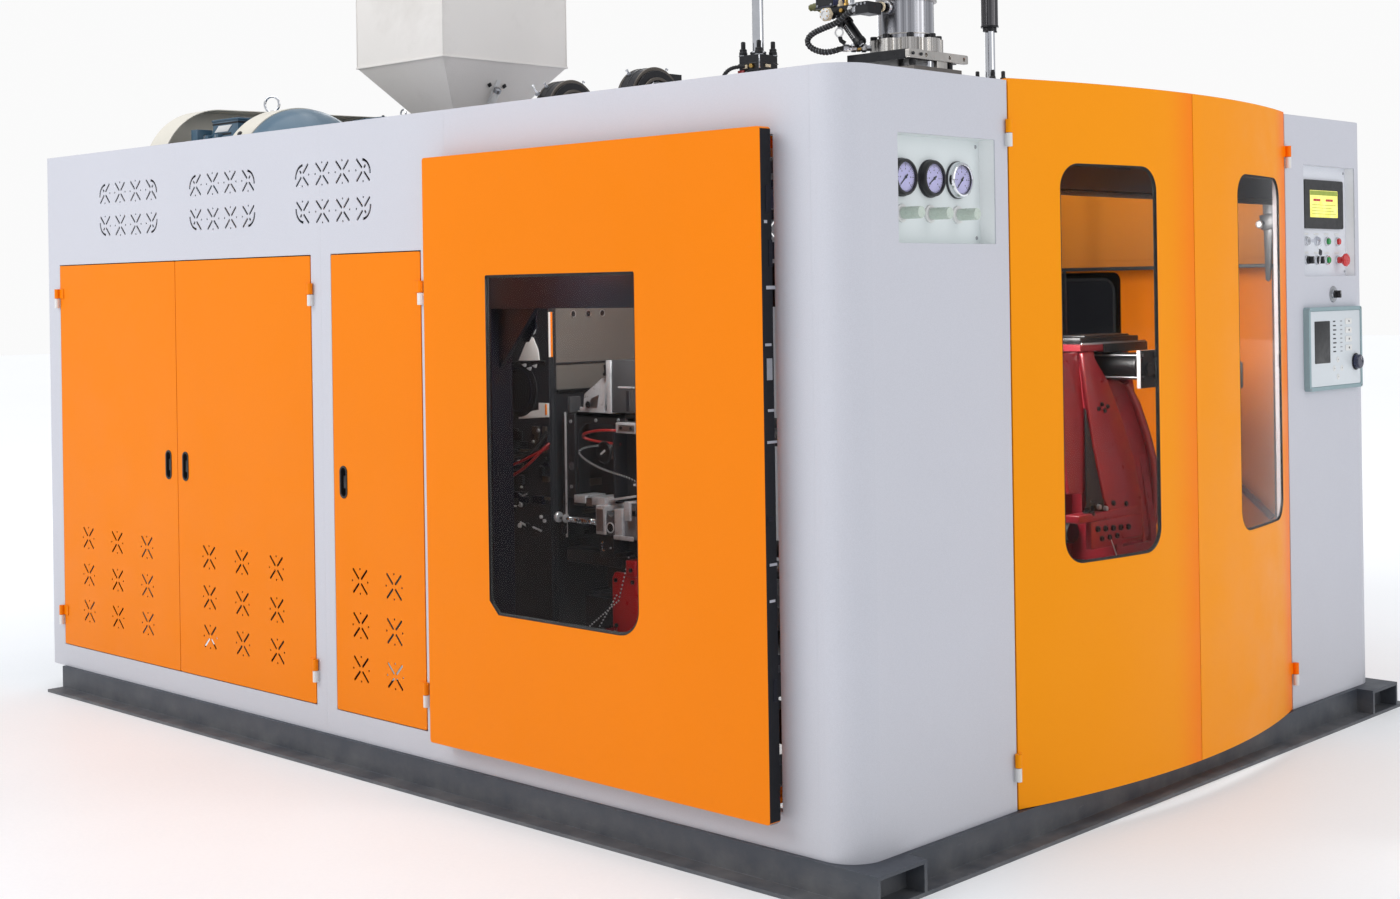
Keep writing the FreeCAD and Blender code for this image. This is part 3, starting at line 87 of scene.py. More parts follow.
class Graph:
    """Small helper for node trees."""

    def __init__(self, name):
        self.m = bpy.data.materials.new(name)
        self.m.use_nodes = True
        self.t = self.m.node_tree
        self.t.nodes.clear()
        self.out = self.t.nodes.new("ShaderNodeOutputMaterial")
        self.bsdf = self.t.nodes.new("ShaderNodeBsdfPrincipled")
        self.t.links.new(self.bsdf.outputs[0], self.out.inputs[0])
        self.coord = self.t.nodes.new("ShaderNodeTexCoord")
        self.obj = self.coord.outputs["Object"]

    def link(self, a, b):
        self.t.links.new(a, b)

    def node(self, kind, **kw):
        n = self.t.nodes.new(kind)
        for k, v in kw.items():
            setattr(n, k, v)
        return n

    def noise(self, scale, detail=4.0, rough=0.55, vec=None, dist=0.0):
        n = self.node("ShaderNodeTexNoise")
        n.inputs["Scale"].default_value = scale
        n.inputs["Detail"].default_value = detail
        n.inputs["Roughness"].default_value = rough
        n.inputs["Distortion"].default_value = dist
        self.link(vec if vec is not None else self.obj, n.inputs["Vector"])
        return n.outputs["Fac"]

    def stretched(self, sx, sy, sz):
        n = self.node("ShaderNodeMapping")
        n.inputs["Scale"].default_value = (sx, sy, sz)
        self.link(self.obj, n.inputs["Vector"])
        return n.outputs["Vector"]

    def remap(self, fac, a, b, c=0.0, d=1.0):
        n = self.node("ShaderNodeMapRange")
        n.inputs["From Min"].default_value = a
        n.inputs["From Max"].default_value = b
        n.inputs["To Min"].default_value = c
        n.inputs["To Max"].default_value = d
        self.link(fac, n.inputs["Value"])
        return n.outputs["Result"]

    def math(self, op, a, b=None):
        n = self.node("ShaderNodeMath", operation=op)
        n.use_clamp = op in ("MULTIPLY", "ADD", "SUBTRACT", "MAXIMUM")
        for i, v in enumerate((a, b)):
            if v is None:
                continue
            if isinstance(v, (int, float)):
                n.inputs[i].default_value = v
            else:
                self.link(v, n.inputs[i])
        return n.outputs[0]

    def mix(self, fac, a, b):
        n = self.node("ShaderNodeMix", data_type="RGBA")
        for sock, v in ((n.inputs[6], a), (n.inputs[7], b)):
            if isinstance(v, tuple):
                sock.default_value = (*v, 1.0)
            else:
                self.link(v, sock)
        self.link(fac, n.inputs[0])
        return n.outputs[2]

    def bump(self, height, strength, distance, normal=None):
        n = self.node("ShaderNodeBump")
        n.inputs["Strength"].default_value = strength
        n.inputs["Distance"].default_value = distance
        self.link(height, n.inputs["Height"])
        if normal is not None:
            self.link(normal, n.inputs["Normal"])
        return n.outputs["Normal"]

    def edges(self, radius, lo=0.02, hi=0.25):
        """1 on outside and inside edges within the radius, 0 on flat areas."""
        bev = self.node("ShaderNodeBevel")
        bev.samples = 4
        bev.inputs["Radius"].default_value = radius
        geo = self.node("ShaderNodeNewGeometry")
        dot = self.node("ShaderNodeVectorMath", operation="DOT_PRODUCT")
        self.link(bev.outputs["Normal"], dot.inputs[0])
        self.link(geo.outputs["Normal"], dot.inputs[1])
        one = self.math("SUBTRACT", 1.0, dot.outputs["Value"])
        return self.remap(one, lo, hi), bev.outputs["Normal"]

    def zpos(self):
        n = self.node("ShaderNodeSeparateXYZ")
        self.link(self.obj, n.inputs[0])
        return n.outputs["Z"]


def shade(c, k):
    return tuple(min(1.0, x * k) for x in c)


def blend_c(a, b, t):
    return tuple(x * (1 - t) + y * t for x, y in zip(a, b))


MATS = {}


def paint(name, color, rough=0.45, metal=0.0, patch=0.05, patch_scale=1.6, grain=0.0, grain_scale=700.0,
          peel=0.10, peel_scale=260.0, edge=0.0, edge_color=(0.5, 0.5, 0.5), edge_r=0.0015, dust=0.0,
          dust_color=(0.55, 0.54, 0.52), dust_top=0.25, scuff=0.0, coat=0.0, coat_rough=0.15, spec=0.5,
          rough_var=0.08, stain=None, stain_amount=0.0, stain_scale=5.0):
    """Painted or moulded surface: cloudy tone, fine grain, orange peel, worn edges, dust and scuffs."""
    g = Graph(name)
    big = g.noise(patch_scale, 5.0, 0.6)
    fac = g.remap(big, 0.3, 0.7)
    col = g.mix(fac, shade(color, 1 - patch), shade(color, 1 + patch))
    if grain:
        fine = g.noise(grain_scale, 2.0, 0.7)
        gf = g.remap(fine, 0.35, 0.65, 0.0, 1.0)
        dark = g.mix(gf, shade(color, 1 - grain), shade(color, 1 + grain))
        n = g.node("ShaderNodeMix", data_type="RGBA")
        n.inputs[0].default_value = 0.5
        g.link(col, n.inputs[6])
        g.link(dark, n.inputs[7])
        col = n.outputs[2]
    if stain is not None:
        sn = g.noise(stain_scale, 8.0, 0.65, dist=0.4)
        sf = g.remap(sn, 0.5, 0.72, 0.0, stain_amount)
        col = g.mix(sf, col, stain)
    rn = g.noise(patch_scale * 6.0, 4.0, 0.6)
    rough_s = g.remap(rn, 0.3, 0.7, max(0.02, rough - rough_var), min(1.0, rough + rough_var))
    if scuff:
        sv = g.stretched(1.0, 1.0, 9.0)
        s1 = g.noise(18.0, 8.0, 0.75, vec=sv)
        sf = g.remap(s1, 0.62, 0.74, 0.0, scuff)
        col = g.mix(sf, col, blend_c(color, (0.6, 0.6, 0.6), 0.5))
        rough_s = g.math("ADD", rough_s, g.math("MULTIPLY", sf, 0.25))
    if dust:
        z = g.zpos()
        dz = g.remap(z, 0.0, dust_top, 1.0, 0.0)
        dn = g.noise(9.0, 6.0, 0.65)
        df = g.math("MULTIPLY", dz, g.remap(dn, 0.35, 0.7, 0.2, dust * 1.6))
        col = g.mix(df, col, dust_color)
        rough_s = g.math("ADD", rough_s, g.math("MULTIPLY", df, 0.3))
    normal = None
    if edge:
        e, normal = g.edges(edge_r)
        en = g.noise(60.0, 6.0, 0.7)
        ef = g.math("MULTIPLY", e, g.remap(en, 0.42, 0.62, 0.05, edge))
        col = g.mix(ef, col, edge_color)
    pn = g.noise(peel_scale, 3.0, 0.5)
    nrm = g.bump(pn, peel, 0.0006, normal)
    g.link(col, g.bsdf.inputs["Base Color"])
    g.link(rough_s, g.bsdf.inputs["Roughness"])
    g.link(nrm, g.bsdf.inputs["Normal"])
    g.bsdf.inputs["Metallic"].default_value = metal
    g.bsdf.inputs["Specular IOR Level"].default_value = spec
    g.bsdf.inputs["Coat Weight"].default_value = coat
    g.bsdf.inputs["Coat Roughness"].default_value = coat_rough
    MATS[name] = g.m
    return g.m


def steel(name, color, rough=0.3, streak=(1.0, 1.0, 60.0), streak_scale=20.0, streak_bump=0.08, tint=None,
          tint_amount=0.0, edge=0.0, rough_var=0.12, dark=0.85):
    """Bare metal with fine machining streaks and a cloudy tone."""
    g = Graph(name)
    sv = g.stretched(*streak)
    st = g.noise(streak_scale, 6.0, 0.7, vec=sv)
    cl = g.noise(6.0, 5.0, 0.6)
    col = g.mix(g.remap(st, 0.3, 0.7), shade(color, dark), shade(color, 1.06))
    if tint is not None:
        tn = g.noise(4.0, 6.0, 0.65, dist=0.3)
        col = g.mix(g.remap(tn, 0.45, 0.7, 0.0, tint_amount), col, tint)
    r = g.remap(cl, 0.3, 0.7, max(0.02, rough - rough_var), rough + rough_var)
    normal = None
    if edge:
        e, normal = g.edges(0.001)
        col = g.mix(g.math("MULTIPLY", e, edge), col, shade(color, 1.25))
    nrm = g.bump(st, streak_bump, 0.0004, normal)
    g.link(col, g.bsdf.inputs["Base Color"])
    g.link(r, g.bsdf.inputs["Roughness"])
    g.link(nrm, g.bsdf.inputs["Normal"])
    g.bsdf.inputs["Metallic"].default_value = 1.0
    MATS[name] = g.m
    return g.m


def glass(name, tint, rough=0.02, ior=1.09):
    """Clear pane that lets lamplight through, with faint smears."""
    g = Graph(name)
    sm = g.noise(7.0, 6.0, 0.6, vec=g.stretched(1.0, 1.0, 0.35))
    r = g.remap(sm, 0.4, 0.75, rough, rough + 0.05)
    col = g.mix(g.remap(sm, 0.3, 0.7), shade(tint, 0.985), tint)
    g.link(col, g.bsdf.inputs["Base Color"])
    g.link(r, g.bsdf.inputs["Roughness"])
    g.bsdf.inputs["Transmission Weight"].default_value = 1.0
    g.bsdf.inputs["IOR"].default_value = ior
    tr = g.node("ShaderNodeBsdfTransparent")
    tr.inputs["Color"].default_value = (*tint, 1.0)
    lp = g.node("ShaderNodeLightPath")
    mx = g.node("ShaderNodeMixShader")
    g.link(lp.outputs["Is Shadow Ray"], mx.inputs[0])
    g.link(g.bsdf.outputs[0], mx.inputs[1])
    g.link(tr.outputs[0], mx.inputs[2])
    g.link(mx.outputs[0], g.out.inputs[0])
    MATS[name] = g.m
    return g.m


ORANGE = srgb(242, 130, 2)
paint("m_orange", ORANGE, rough=0.40, patch=0.035, patch_scale=1.1, grain=0.05, grain_scale=900, peel=0.16,
      peel_scale=420, edge=0.35, edge_color=srgb(250, 170, 90), edge_r=0.0012, coat=0.0, spec=0.12, scuff=0.05)
paint("m_cover", srgb(202, 203, 211), rough=0.50, patch=0.025, patch_scale=1.2, grain=0.11, grain_scale=620, peel=0.22,
      peel_scale=520, edge=0.25, edge_color=srgb(228, 228, 232), edge_r=0.0015, dust=0.12, dust_top=0.5,
      dust_color=srgb(176, 172, 166))
paint("m_slate", srgb(42, 50, 62), rough=0.42, patch=0.10, patch_scale=2.4, grain=0.08, grain_scale=500, peel=0.20,
      peel_scale=180, edge=0.8, edge_color=srgb(128, 136, 148), edge_r=0.002, dust=0.35, dust_top=0.10,
      dust_color=srgb(140, 138, 136), scuff=0.35)
paint("m_navy", srgb(15, 16, 28), spec=0.25, rough=0.40, patch=0.12, patch_scale=3.0, grain=0.06, peel=0.2, peel_scale=150,
      edge=0.7, edge_color=srgb(60, 64, 84), scuff=0.1)
paint("m_red_cast", srgb(112, 20, 26), rough=0.38, patch=0.18, patch_scale=5.0, grain=0.10, grain_scale=260, peel=0.55,
      peel_scale=90, edge=0.9, edge_color=srgb(176, 96, 88), edge_r=0.0025, coat=0.2)
paint("m_black_cast", srgb(34, 34, 37), rough=0.42, patch=0.2, patch_scale=5.0, grain=0.1, grain_scale=260, peel=0.5,
      peel_scale=90, edge=0.8, edge_color=srgb(120, 120, 124), edge_r=0.002)
paint("m_motor", srgb(70, 100, 120), rough=0.36, patch=0.12, patch_scale=4.0, grain=0.05, peel=0.35, peel_scale=110,
      edge=0.5, edge_color=srgb(150, 168, 178), coat=0.25, scuff=0.18, stain=srgb(150, 160, 166), stain_amount=0.35)
paint("m_cream", srgb(222, 217, 204), rough=0.42, patch=0.05, patch_scale=3.0, grain=0.05, peel=0.2, edge=0.5,
      edge_color=srgb(120, 112, 100), stain=srgb(160, 150, 130), stain_amount=0.25)
paint("m_hopper", srgb(230, 226, 221), rough=0.44, patch=0.05, patch_scale=2.2, grain=0.06, grain_scale=500, peel=0.25,
      peel_scale=240, edge=0.5, edge_color=srgb(236, 234, 230), stain=srgb(176, 168, 160), stain_amount=0.3,
      stain_scale=2.6)
paint("m_blower", srgb(40, 40, 43), rough=0.42, metal=0.4, patch=0.15, patch_scale=8.0, grain=0.1, grain_scale=300,
      peel=0.5, peel_scale=160, edge=0.9, edge_color=srgb(150, 150, 152), edge_r=0.002)
paint("m_fitting", srgb(24, 24, 27), rough=0.34, metal=0.35, patch=0.2, patch_scale=9.0, grain=0.08, peel=0.3,
      edge=0.9, edge_color=srgb(120, 120, 124), edge_r=0.0012)
paint("m_rubber", srgb(22, 22, 23), rough=0.62, patch=0.15, patch_scale=12.0, grain=0.1, peel=0.4, peel_scale=300,
      dust=0.0, stain=srgb(64, 62, 60), stain_amount=0.25, stain_scale=14.0)
paint("m_panel", srgb(226, 232, 232), rough=0.42, patch=0.03, patch_scale=3.0, grain=0.06, grain_scale=700, peel=0.15,
      edge=0.3, edge_color=srgb(240, 240, 240))
paint("m_panel_ctrl", srgb(226, 228, 234), rough=0.45, patch=0.03, patch_scale=3.0, grain=0.10, grain_scale=700,
      peel=0.2, edge=0.3, edge_color=srgb(230, 230, 234))
paint("m_black_plastic", srgb(28, 28, 30), rough=0.40, patch=0.1, patch_scale=8.0, grain=0.08, grain_scale=900, peel=0.25,
      peel_scale=600, edge=0.4, edge_color=srgb(70, 70, 74), edge_r=0.0008)
paint("m_unit", srgb(140, 164, 169), rough=0.42, patch=0.05, patch_scale=6.0, grain=0.05, peel=0.2, peel_scale=500,
      edge=0.4, edge_color=srgb(150, 170, 176), edge_r=0.001)
paint("m_unit_face", srgb(214, 220, 224), rough=0.40, patch=0.03, patch_scale=8.0, grain=0.04, peel=0.08, peel_scale=700)
paint("m_knob_green", srgb(196, 208, 196), rough=0.30, patch=0.05, patch_scale=20.0, peel=0.1, coat=0.3,
      edge=0.3, edge_color=srgb(226, 232, 226), edge_r=0.0008)
paint("m_white", srgb(226, 226, 224), rough=0.40, patch=0.04, patch_scale=10.0, grain=0.03, peel=0.1, edge=0.2,
      edge_color=srgb(245, 245, 245))
paint("m_dark_red", srgb(84, 10, 20), rough=0.26, patch=0.08, patch_scale=30.0, peel=0.06, coat=0.5, coat_rough=0.08)
paint("m_green", srgb(22, 150, 66), rough=0.26, patch=0.08, patch_scale=30.0, peel=0.06, coat=0.5, coat_rough=0.08)
paint("m_red", srgb(206, 24, 28), rough=0.26, patch=0.08, patch_scale=30.0, peel=0.06, coat=0.5, coat_rough=0.08)
paint("m_knob_navy", srgb(24, 30, 60), rough=0.28, patch=0.1, patch_scale=20.0, peel=0.08, coat=0.4, edge=0.4,
      edge_color=srgb(96, 104, 140), edge_r=0.0008)
paint("m_gear", srgb(66, 96, 116), rough=0.4, patch=0.12, patch_scale=4.0, grain=0.06, peel=0.5, peel_scale=90,
      edge=0.5, edge_color=srgb(140, 160, 172), stain=srgb(48, 52, 56), stain_amount=0.4)
paint("m_tank", srgb(84, 108, 108), rough=0.42, patch=0.08, patch_scale=3.0, peel=0.25, edge=0.5,
      edge_color=srgb(150, 168, 168), scuff=0.2)
paint("m_lilac", srgb(204, 198, 240), rough=0.35, patch=0.03, patch_scale=20.0, peel=0.03)
paint("m_mark", srgb(30, 30, 34), rough=0.5, patch=0.1, patch_scale=20.0, peel=0.05)
paint("m_olive", srgb(92, 92, 44), rough=0.42, patch=0.12, patch_scale=12.0, grain=0.1, peel=0.3, edge=0.4,
      edge_color=srgb(140, 140, 90))
paint("m_valve_blue", srgb(30, 38, 78), rough=0.34, patch=0.1, patch_scale=12.0, peel=0.3, coat=0.3, edge=0.6,
      edge_color=srgb(110, 116, 150), edge_r=0.001)
# painted shade: the door orange darkened to brown, for orange surfaces seen in shade inside the cover
paint("m_orange_painted_shade", srgb(196, 112, 36), rough=0.42, patch=0.06, patch_scale=2.0, grain=0.05, peel=0.2)
paint("m_red_hose", srgb(176, 28, 24), rough=0.4, patch=0.1, patch_scale=16.0, peel=0.1, coat=0.2)
paint("m_beige", srgb(206, 190, 160), rough=0.45, patch=0.08, patch_scale=18.0, peel=0.2)
steel("m_steel", srgb(196, 197, 200), rough=0.26, streak=(1.0, 1.0, 1.0), streak_scale=60.0, streak_bump=0.05, edge=0.3)
steel("m_turned", srgb(206, 207, 212), rough=0.16, streak=(1.0, 1.0, 70.0), streak_scale=10.0, streak_bump=0.06,
      edge=0.3, rough_var=0.06)
steel("m_chrome", srgb(222, 223, 226), rough=0.08, streak=(1.0, 1.0, 1.0), streak_scale=40.0, streak_bump=0.01,
      rough_var=0.03, dark=0.95)
steel("m_barrel", srgb(120, 116, 112), rough=0.38, streak=(60.0, 1.0, 1.0), streak_scale=12.0, tint=srgb(104, 84, 60),
      tint_amount=0.6, edge=0.2)
steel("m_galv", srgb(176, 178, 182), rough=0.42, streak=(1.0, 1.0, 1.0), streak_scale=24.0, streak_bump=0.03,
      tint=srgb(140, 142, 148), tint_amount=0.5)
steel("m_brass", srgb(186, 150, 84), rough=0.28, streak=(1.0, 1.0, 1.0), streak_scale=60.0, tint=srgb(120, 92, 48),
      tint_amount=0.4, edge=0.4)
steel("m_dark_steel", srgb(74, 74, 78), rough=0.34, streak=(1.0, 1.0, 1.0), streak_scale=40.0, edge=0.5)
glass("m_pane", (0.96, 0.972, 0.97))
glass("m_smoked", (0.012, 0.012, 0.014), 0.04)
glass("m_lens", (0.96, 0.97, 0.975), ior=1.2)

# Front door leaves, painted light and shade: they take a lighter copy of the door orange as painted light, and the
# colour runs redder towards one end of each curved leaf as painted shade.
def leaf(name, y0, y1):
    paint(name, srgb(255, 154, 0), rough=0.40, patch=0.03, patch_scale=1.1, grain=0.05, grain_scale=900, peel=0.16,
          peel_scale=420, edge=0.35, edge_color=srgb(255, 186, 90), edge_r=0.0012, spec=0.12)
    t = MATS[name].node_tree
    bsdf = [n for n in t.nodes if n.type == "BSDF_PRINCIPLED"][0]
    was = bsdf.inputs["Base Color"].links[0].from_socket
    sep, ramp, mix = t.nodes.new("ShaderNodeSeparateXYZ"), t.nodes.new("ShaderNodeMapRange"), t.nodes.new("ShaderNodeMix")
    coord = [n for n in t.nodes if n.type == "TEX_COORD"][0]
    t.links.new(coord.outputs["Object"], sep.inputs[0])
    t.links.new(sep.outputs["Y"], ramp.inputs["Value"])
    ramp.interpolation_type = "SMOOTHSTEP"
    ramp.inputs["From Min"].default_value = y0
    ramp.inputs["From Max"].default_value = y1
    mix.data_type = "RGBA"
    t.links.new(ramp.outputs["Result"], mix.inputs[0])
    t.links.new(was, mix.inputs[6])
    mix.inputs[7].default_value = (*srgb(255, 122, 0), 1.0)
    t.links.new(mix.outputs[2], bsdf.inputs["Base Color"])


leaf("m_leaf_left", -0.12, 0.10)
leaf("m_leaf_right", 0.60, 0.75)

NODE_MAT = {
    "base_frame": "m_slate", "inner_frame": "m_navy", "top_frame": "m_navy", "guide_rails": "m_steel",
    "near_side_panel": "m_cover", "far_side_panel": "m_cover", "rear_panel": "m_cover", "roof_panel": "m_cover",
    "hinge_pins": "m_white", "gauge_panel": "m_panel", "pressure_gauges": "m_dark_steel",
    "control_panel": "m_panel_ctrl", "touch_panel": "m_black_plastic", "button_bezels": "m_chrome",
    "program_unit": "m_unit", "blow_cylinders": "m_fitting", "drive_motor": "m_motor", "belt_guard": "m_cream",
    "gearbox": "m_gear", "extruder_barrel": "m_barrel", "hopper": "m_hopper", "barrel_blowers": "m_blower",
    "die_head": "m_fitting", "head_cylinder": "m_turned", "servo_valve": "m_fitting", "valve_hose": "m_rubber",
    "oil_tank": "m_tank", "electrical_box": "m_panel", "rear_left_door": "m_orange", "rear_right_door": "m_orange",
    "middle_door": "m_orange", "near_slide_door": "m_orange", "far_slide_door": "m_orange",
    "front_left_door": "m_leaf_left", "front_right_door": "m_leaf_right", "near_slide_pane": "m_pane",
    "far_slide_pane": "m_smoked", "front_left_pane": "m_pane", "front_right_pane": "m_pane",
    "near_carriage": "m_black_cast", "far_carriage": "m_black_cast", "near_front_platen": "m_red_cast",
    "far_front_platen": "m_red_cast", "near_blow_rod": "m_chrome", "far_blow_rod": "m_chrome",
    "extruder_screw": "m_turned", "knife_arm": "m_steel", "key_switch": "m_chrome", "dark_red_button": "m_dark_red",
    "green_button": "m_green", "red_button": "m_red", "left_selector": "m_black_plastic",
    "right_selector": "m_black_plastic", "lower_green_button": "m_green", "stop_button": "m_red",
    "rotary_switch": "m_black_plastic", "program_knob": "m_knob_navy", "regulator_knob_left": "m_knob_green",
    "regulator_knob_middle": "m_knob_green", "regulator_knob_right": "m_knob_green"}

for n, ob in NODES.items():
    ob.data.materials.clear()
    ob.data.materials.append(MATS[NODE_MAT[n]])
    ob.data.polygons.foreach_set("use_smooth", [True] * len(ob.data.polygons))
    ob.data.set_sharp_from_angle(angle=math.radians(28))


# ------------------------------------------------------------ mesh builder
def axis_of(axis):
    if isinstance(axis, str):
        return Vector({"X": (1, 0, 0), "Y": (0, 1, 0), "Z": (0, 0, 1)}[axis])
    return Vector(axis).normalized()


class Build:
    """Collects bevelled solids in millimetres and makes one piece of them."""

    def __init__(self, *mats):
        self.bm = bmesh.new()
        self.mats = [MATS[m] for m in mats]

    def _merge(self, bm, mi, matrix=None):
        for f in bm.faces:
            f.material_index = mi
        if matrix is not None:
            bmesh.ops.transform(bm, matrix=matrix, verts=bm.verts)
        me = bpy.data.meshes.new("tmp")
        bm.to_mesh(me)
        bm.free()
        self.bm.from_mesh(me)
        bpy.data.meshes.remove(me)

    def box(self, x0, y0, z0, x1, y1, z1, b=1.0, seg=2, mi=0, m=None):
        bm = bmesh.new()
        lo, hi = [min(x0, x1), min(y0, y1), min(z0, z1)], [max(x0, x1), max(y0, y1), max(z0, z1)]
        v = [bm.verts.new((x, y, z)) for x in (lo[0], hi[0]) for y in (lo[1], hi[1]) for z in (lo[2], hi[2])]
        for f in ((0, 1, 3, 2), (4, 6, 7, 5), (0, 4, 5, 1), (2, 3, 7, 6), (0, 2, 6, 4), (1, 5, 7, 3)):
            bm.faces.new([v[i] for i in f])
        if b > 0:
            b = min(b, 0.45 * min(h - l for l, h in zip(lo, hi)))
            bmesh.ops.bevel(bm, geom=list(bm.edges), offset=b, segments=seg, profile=0.5, affect="EDGES")
        bmesh.ops.recalc_face_normals(bm, faces=bm.faces)
        self._merge(bm, mi, m)
        return self

    def prism(self, pts, plane, a, b, bev=0.8, seg=2, mi=0, m=None):
        """A flat outline in a plane, from a to b."""
        bm = bmesh.new()
        mp = {"XZ": lambda u, v, w: (u, w, v), "YZ": lambda u, v, w: (w, u, v), "XY": lambda u, v, w: (u, v, w)}[plane]
        lo = [bm.verts.new(mp(u, v, a)) for u, v in pts]
        hi = [bm.verts.new(mp(u, v, b)) for u, v in pts]
        bm.faces.new(lo)
        bm.faces.new(hi)
        n = len(pts)
        for i in range(n):
            bm.faces.new((lo[i], lo[(i + 1) % n], hi[(i + 1) % n], hi[i]))
        bmesh.ops.recalc_face_normals(bm, faces=bm.faces)
        if bev > 0:
            rim = [e for e in bm.edges if len(e.link_faces) == 2 and e.calc_face_angle(0) > 0.6]
            bmesh.ops.bevel(bm, geom=rim, offset=min(bev, abs(b - a) * 0.45), segments=seg, profile=0.5,
                            affect="EDGES", clamp_overlap=True)
        self._merge(bm, mi, m)
        return self

    def lathe(self, origin, axis, prof, n=40, mi=0, m=None):
        """Turns (radius, height) points about an axis through origin."""
        bm = bmesh.new()
        ax = axis_of(axis)
        q = Vector((0, 0, 1)).rotation_difference(ax)
        o = Vector(origin)
        rings = []
        for r, h in prof:
            if r <= 1e-6:
                rings.append([bm.verts.new(o + q @ Vector((0, 0, h)))])
            else:
                rings.append([bm.verts.new(o + q @ Vector((r * math.cos(2 * math.pi * i / n),
                                                            r * math.sin(2 * math.pi * i / n), h)))
                              for i in range(n)])
        for a, b in zip(rings, rings[1:]):
            for i in range(n):
                j = (i + 1) % n
                if len(a) == 1 and len(b) == 1:
                    continue
                if len(a) == 1:
                    bm.faces.new((a[0], b[j], b[i]))
                elif len(b) == 1:
                    bm.faces.new((a[i], a[j], b[0]))
                else:
                    bm.faces.new((a[i], a[j], b[j], b[i]))
        bmesh.ops.recalc_face_normals(bm, faces=bm.faces)
        self._merge(bm, mi, m)
        return self

    def disc(self, origin, axis, r, h, b=0.8, n=40, mi=0, m=None):
        b = min(b, r * 0.4, abs(h) * 0.45)
        s = 1 if h > 0 else -1
        return self.lathe(origin, axis, [(0, 0), (r - b, 0), (r - b * 0.3, s * b * 0.3), (r, s * b),
                                         (r, h - s * b), (r - b * 0.3, h - s * b * 0.3), (r - b, h), (0, h)],
                          n, mi, m)

    def ring(self, origin, axis, r, ri, h, b=0.6, n=40, mi=0, m=None):
        b = min(b, (r - ri) * 0.3, abs(h) * 0.4)
        return self.lathe(origin, axis, [(ri, b), (ri + b, 0), (r - b, 0), (r, b), (r, h - b), (r - b, h),
                                         (ri + b, h), (ri, h - b), (ri, b)], n, mi, m)

    def tube(self, pts, r, n=12, mi=0, cap=True, m=None):
        """Round bar through the points as they are."""
        bm = bmesh.new()
        p = [Vector(x) for x in pts]
        t0 = (p[1] - p[0]).normalized()
        ref = Vector((0, 0, 1)) if abs(t0.z) < 0.9 else Vector((1, 0, 0))
        u = t0.cross(ref).normalized()
        rings, prev = [], t0
        for i, q in enumerate(p):
            if i == 0:
                t = t0
            elif i == len(p) - 1:
                t = (p[i] - p[i - 1]).normalized()
            else:
                t = ((p[i] - p[i - 1]).normalized() + (p[i + 1] - p[i]).normalized()).normalized()
            u = prev.rotation_difference(t) @ u
            prev = t
            w = t.cross(u)
            rr = r[i] if isinstance(r, (list, tuple)) else r
            rings.append([bm.verts.new(q + (u * math.cos(2 * math.pi * k / n) + w * math.sin(2 * math.pi * k / n)) * rr)
                          for k in range(n)])
        for a, b in zip(rings, rings[1:]):
            for k in range(n):
                bm.faces.new((a[k], a[(k + 1) % n], b[(k + 1) % n], b[k]))
        if cap:
            bm.faces.new(rings[0])
            bm.faces.new(rings[-1])
        bmesh.ops.recalc_face_normals(bm, faces=bm.faces)
        self._merge(bm, mi, m)
        return self

    def hexa(self, origin, axis, r, h, mi=0, m=None):
        """Hexagon head with a chamfered top."""
        ax = axis_of(axis)
        q = Vector((0, 0, 1)).rotation_difference(ax)
        bm = bmesh.new()
        o = Vector(origin)
        rings = []
        for rr, hh in ((r, 0), (r, h * 0.82), (r * 0.88, h)):
            rings.append([bm.verts.new(o + q @ Vector((rr * math.cos(math.radians(60 * i)),
                                                        rr * math.sin(math.radians(60 * i)), hh))) for i in range(6)])
        for a, b in zip(rings, rings[1:]):
            for i in range(6):
                bm.faces.new((a[i], a[(i + 1) % 6], b[(i + 1) % 6], b[i]))
        bm.faces.new(rings[0])
        bm.faces.new(rings[-1])
        bmesh.ops.recalc_face_normals(bm, faces=bm.faces)
        self._merge(bm, mi, m)
        return self

    def screw(self, origin, axis, r, h, mi=0):
        """Socket head cap screw: knurled-looking drum with a six-sided recess."""
        ax = axis_of(axis)
        self.lathe(origin, ax, [(0, 0), (r, 0), (r, h * 0.86), (r * 0.9, h), (r * 0.56, h), (r * 0.50, h * 0.55),
                                (0, h * 0.5)], 18, mi)
        return self

    def sphere(self, c, r, mi=0, squash=1.0):
        prof = [(r * math.sin(math.pi * i / 12), -r * squash * math.cos(math.pi * i / 12)) for i in range(13)]
        return self.lathe(c, "Z", prof, 24, mi)

    def done(self, name, body, angle=32.0):
        bmesh.ops.scale(self.bm, vec=(MM, MM, MM), verts=self.bm.verts)
        me = bpy.data.meshes.new(name)
        self.bm.to_mesh(me)
        self.bm.free()
        for x in self.mats:
            me.materials.append(x)
        me.polygons.foreach_set("use_smooth", [True] * len(me.polygons))
        me.set_sharp_from_angle(angle=math.radians(angle))
        me.update()
        ob = bpy.data.objects.new(name, me)
        bpy.context.scene.collection.objects.link(ob)
        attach(ob, body)
        return ob


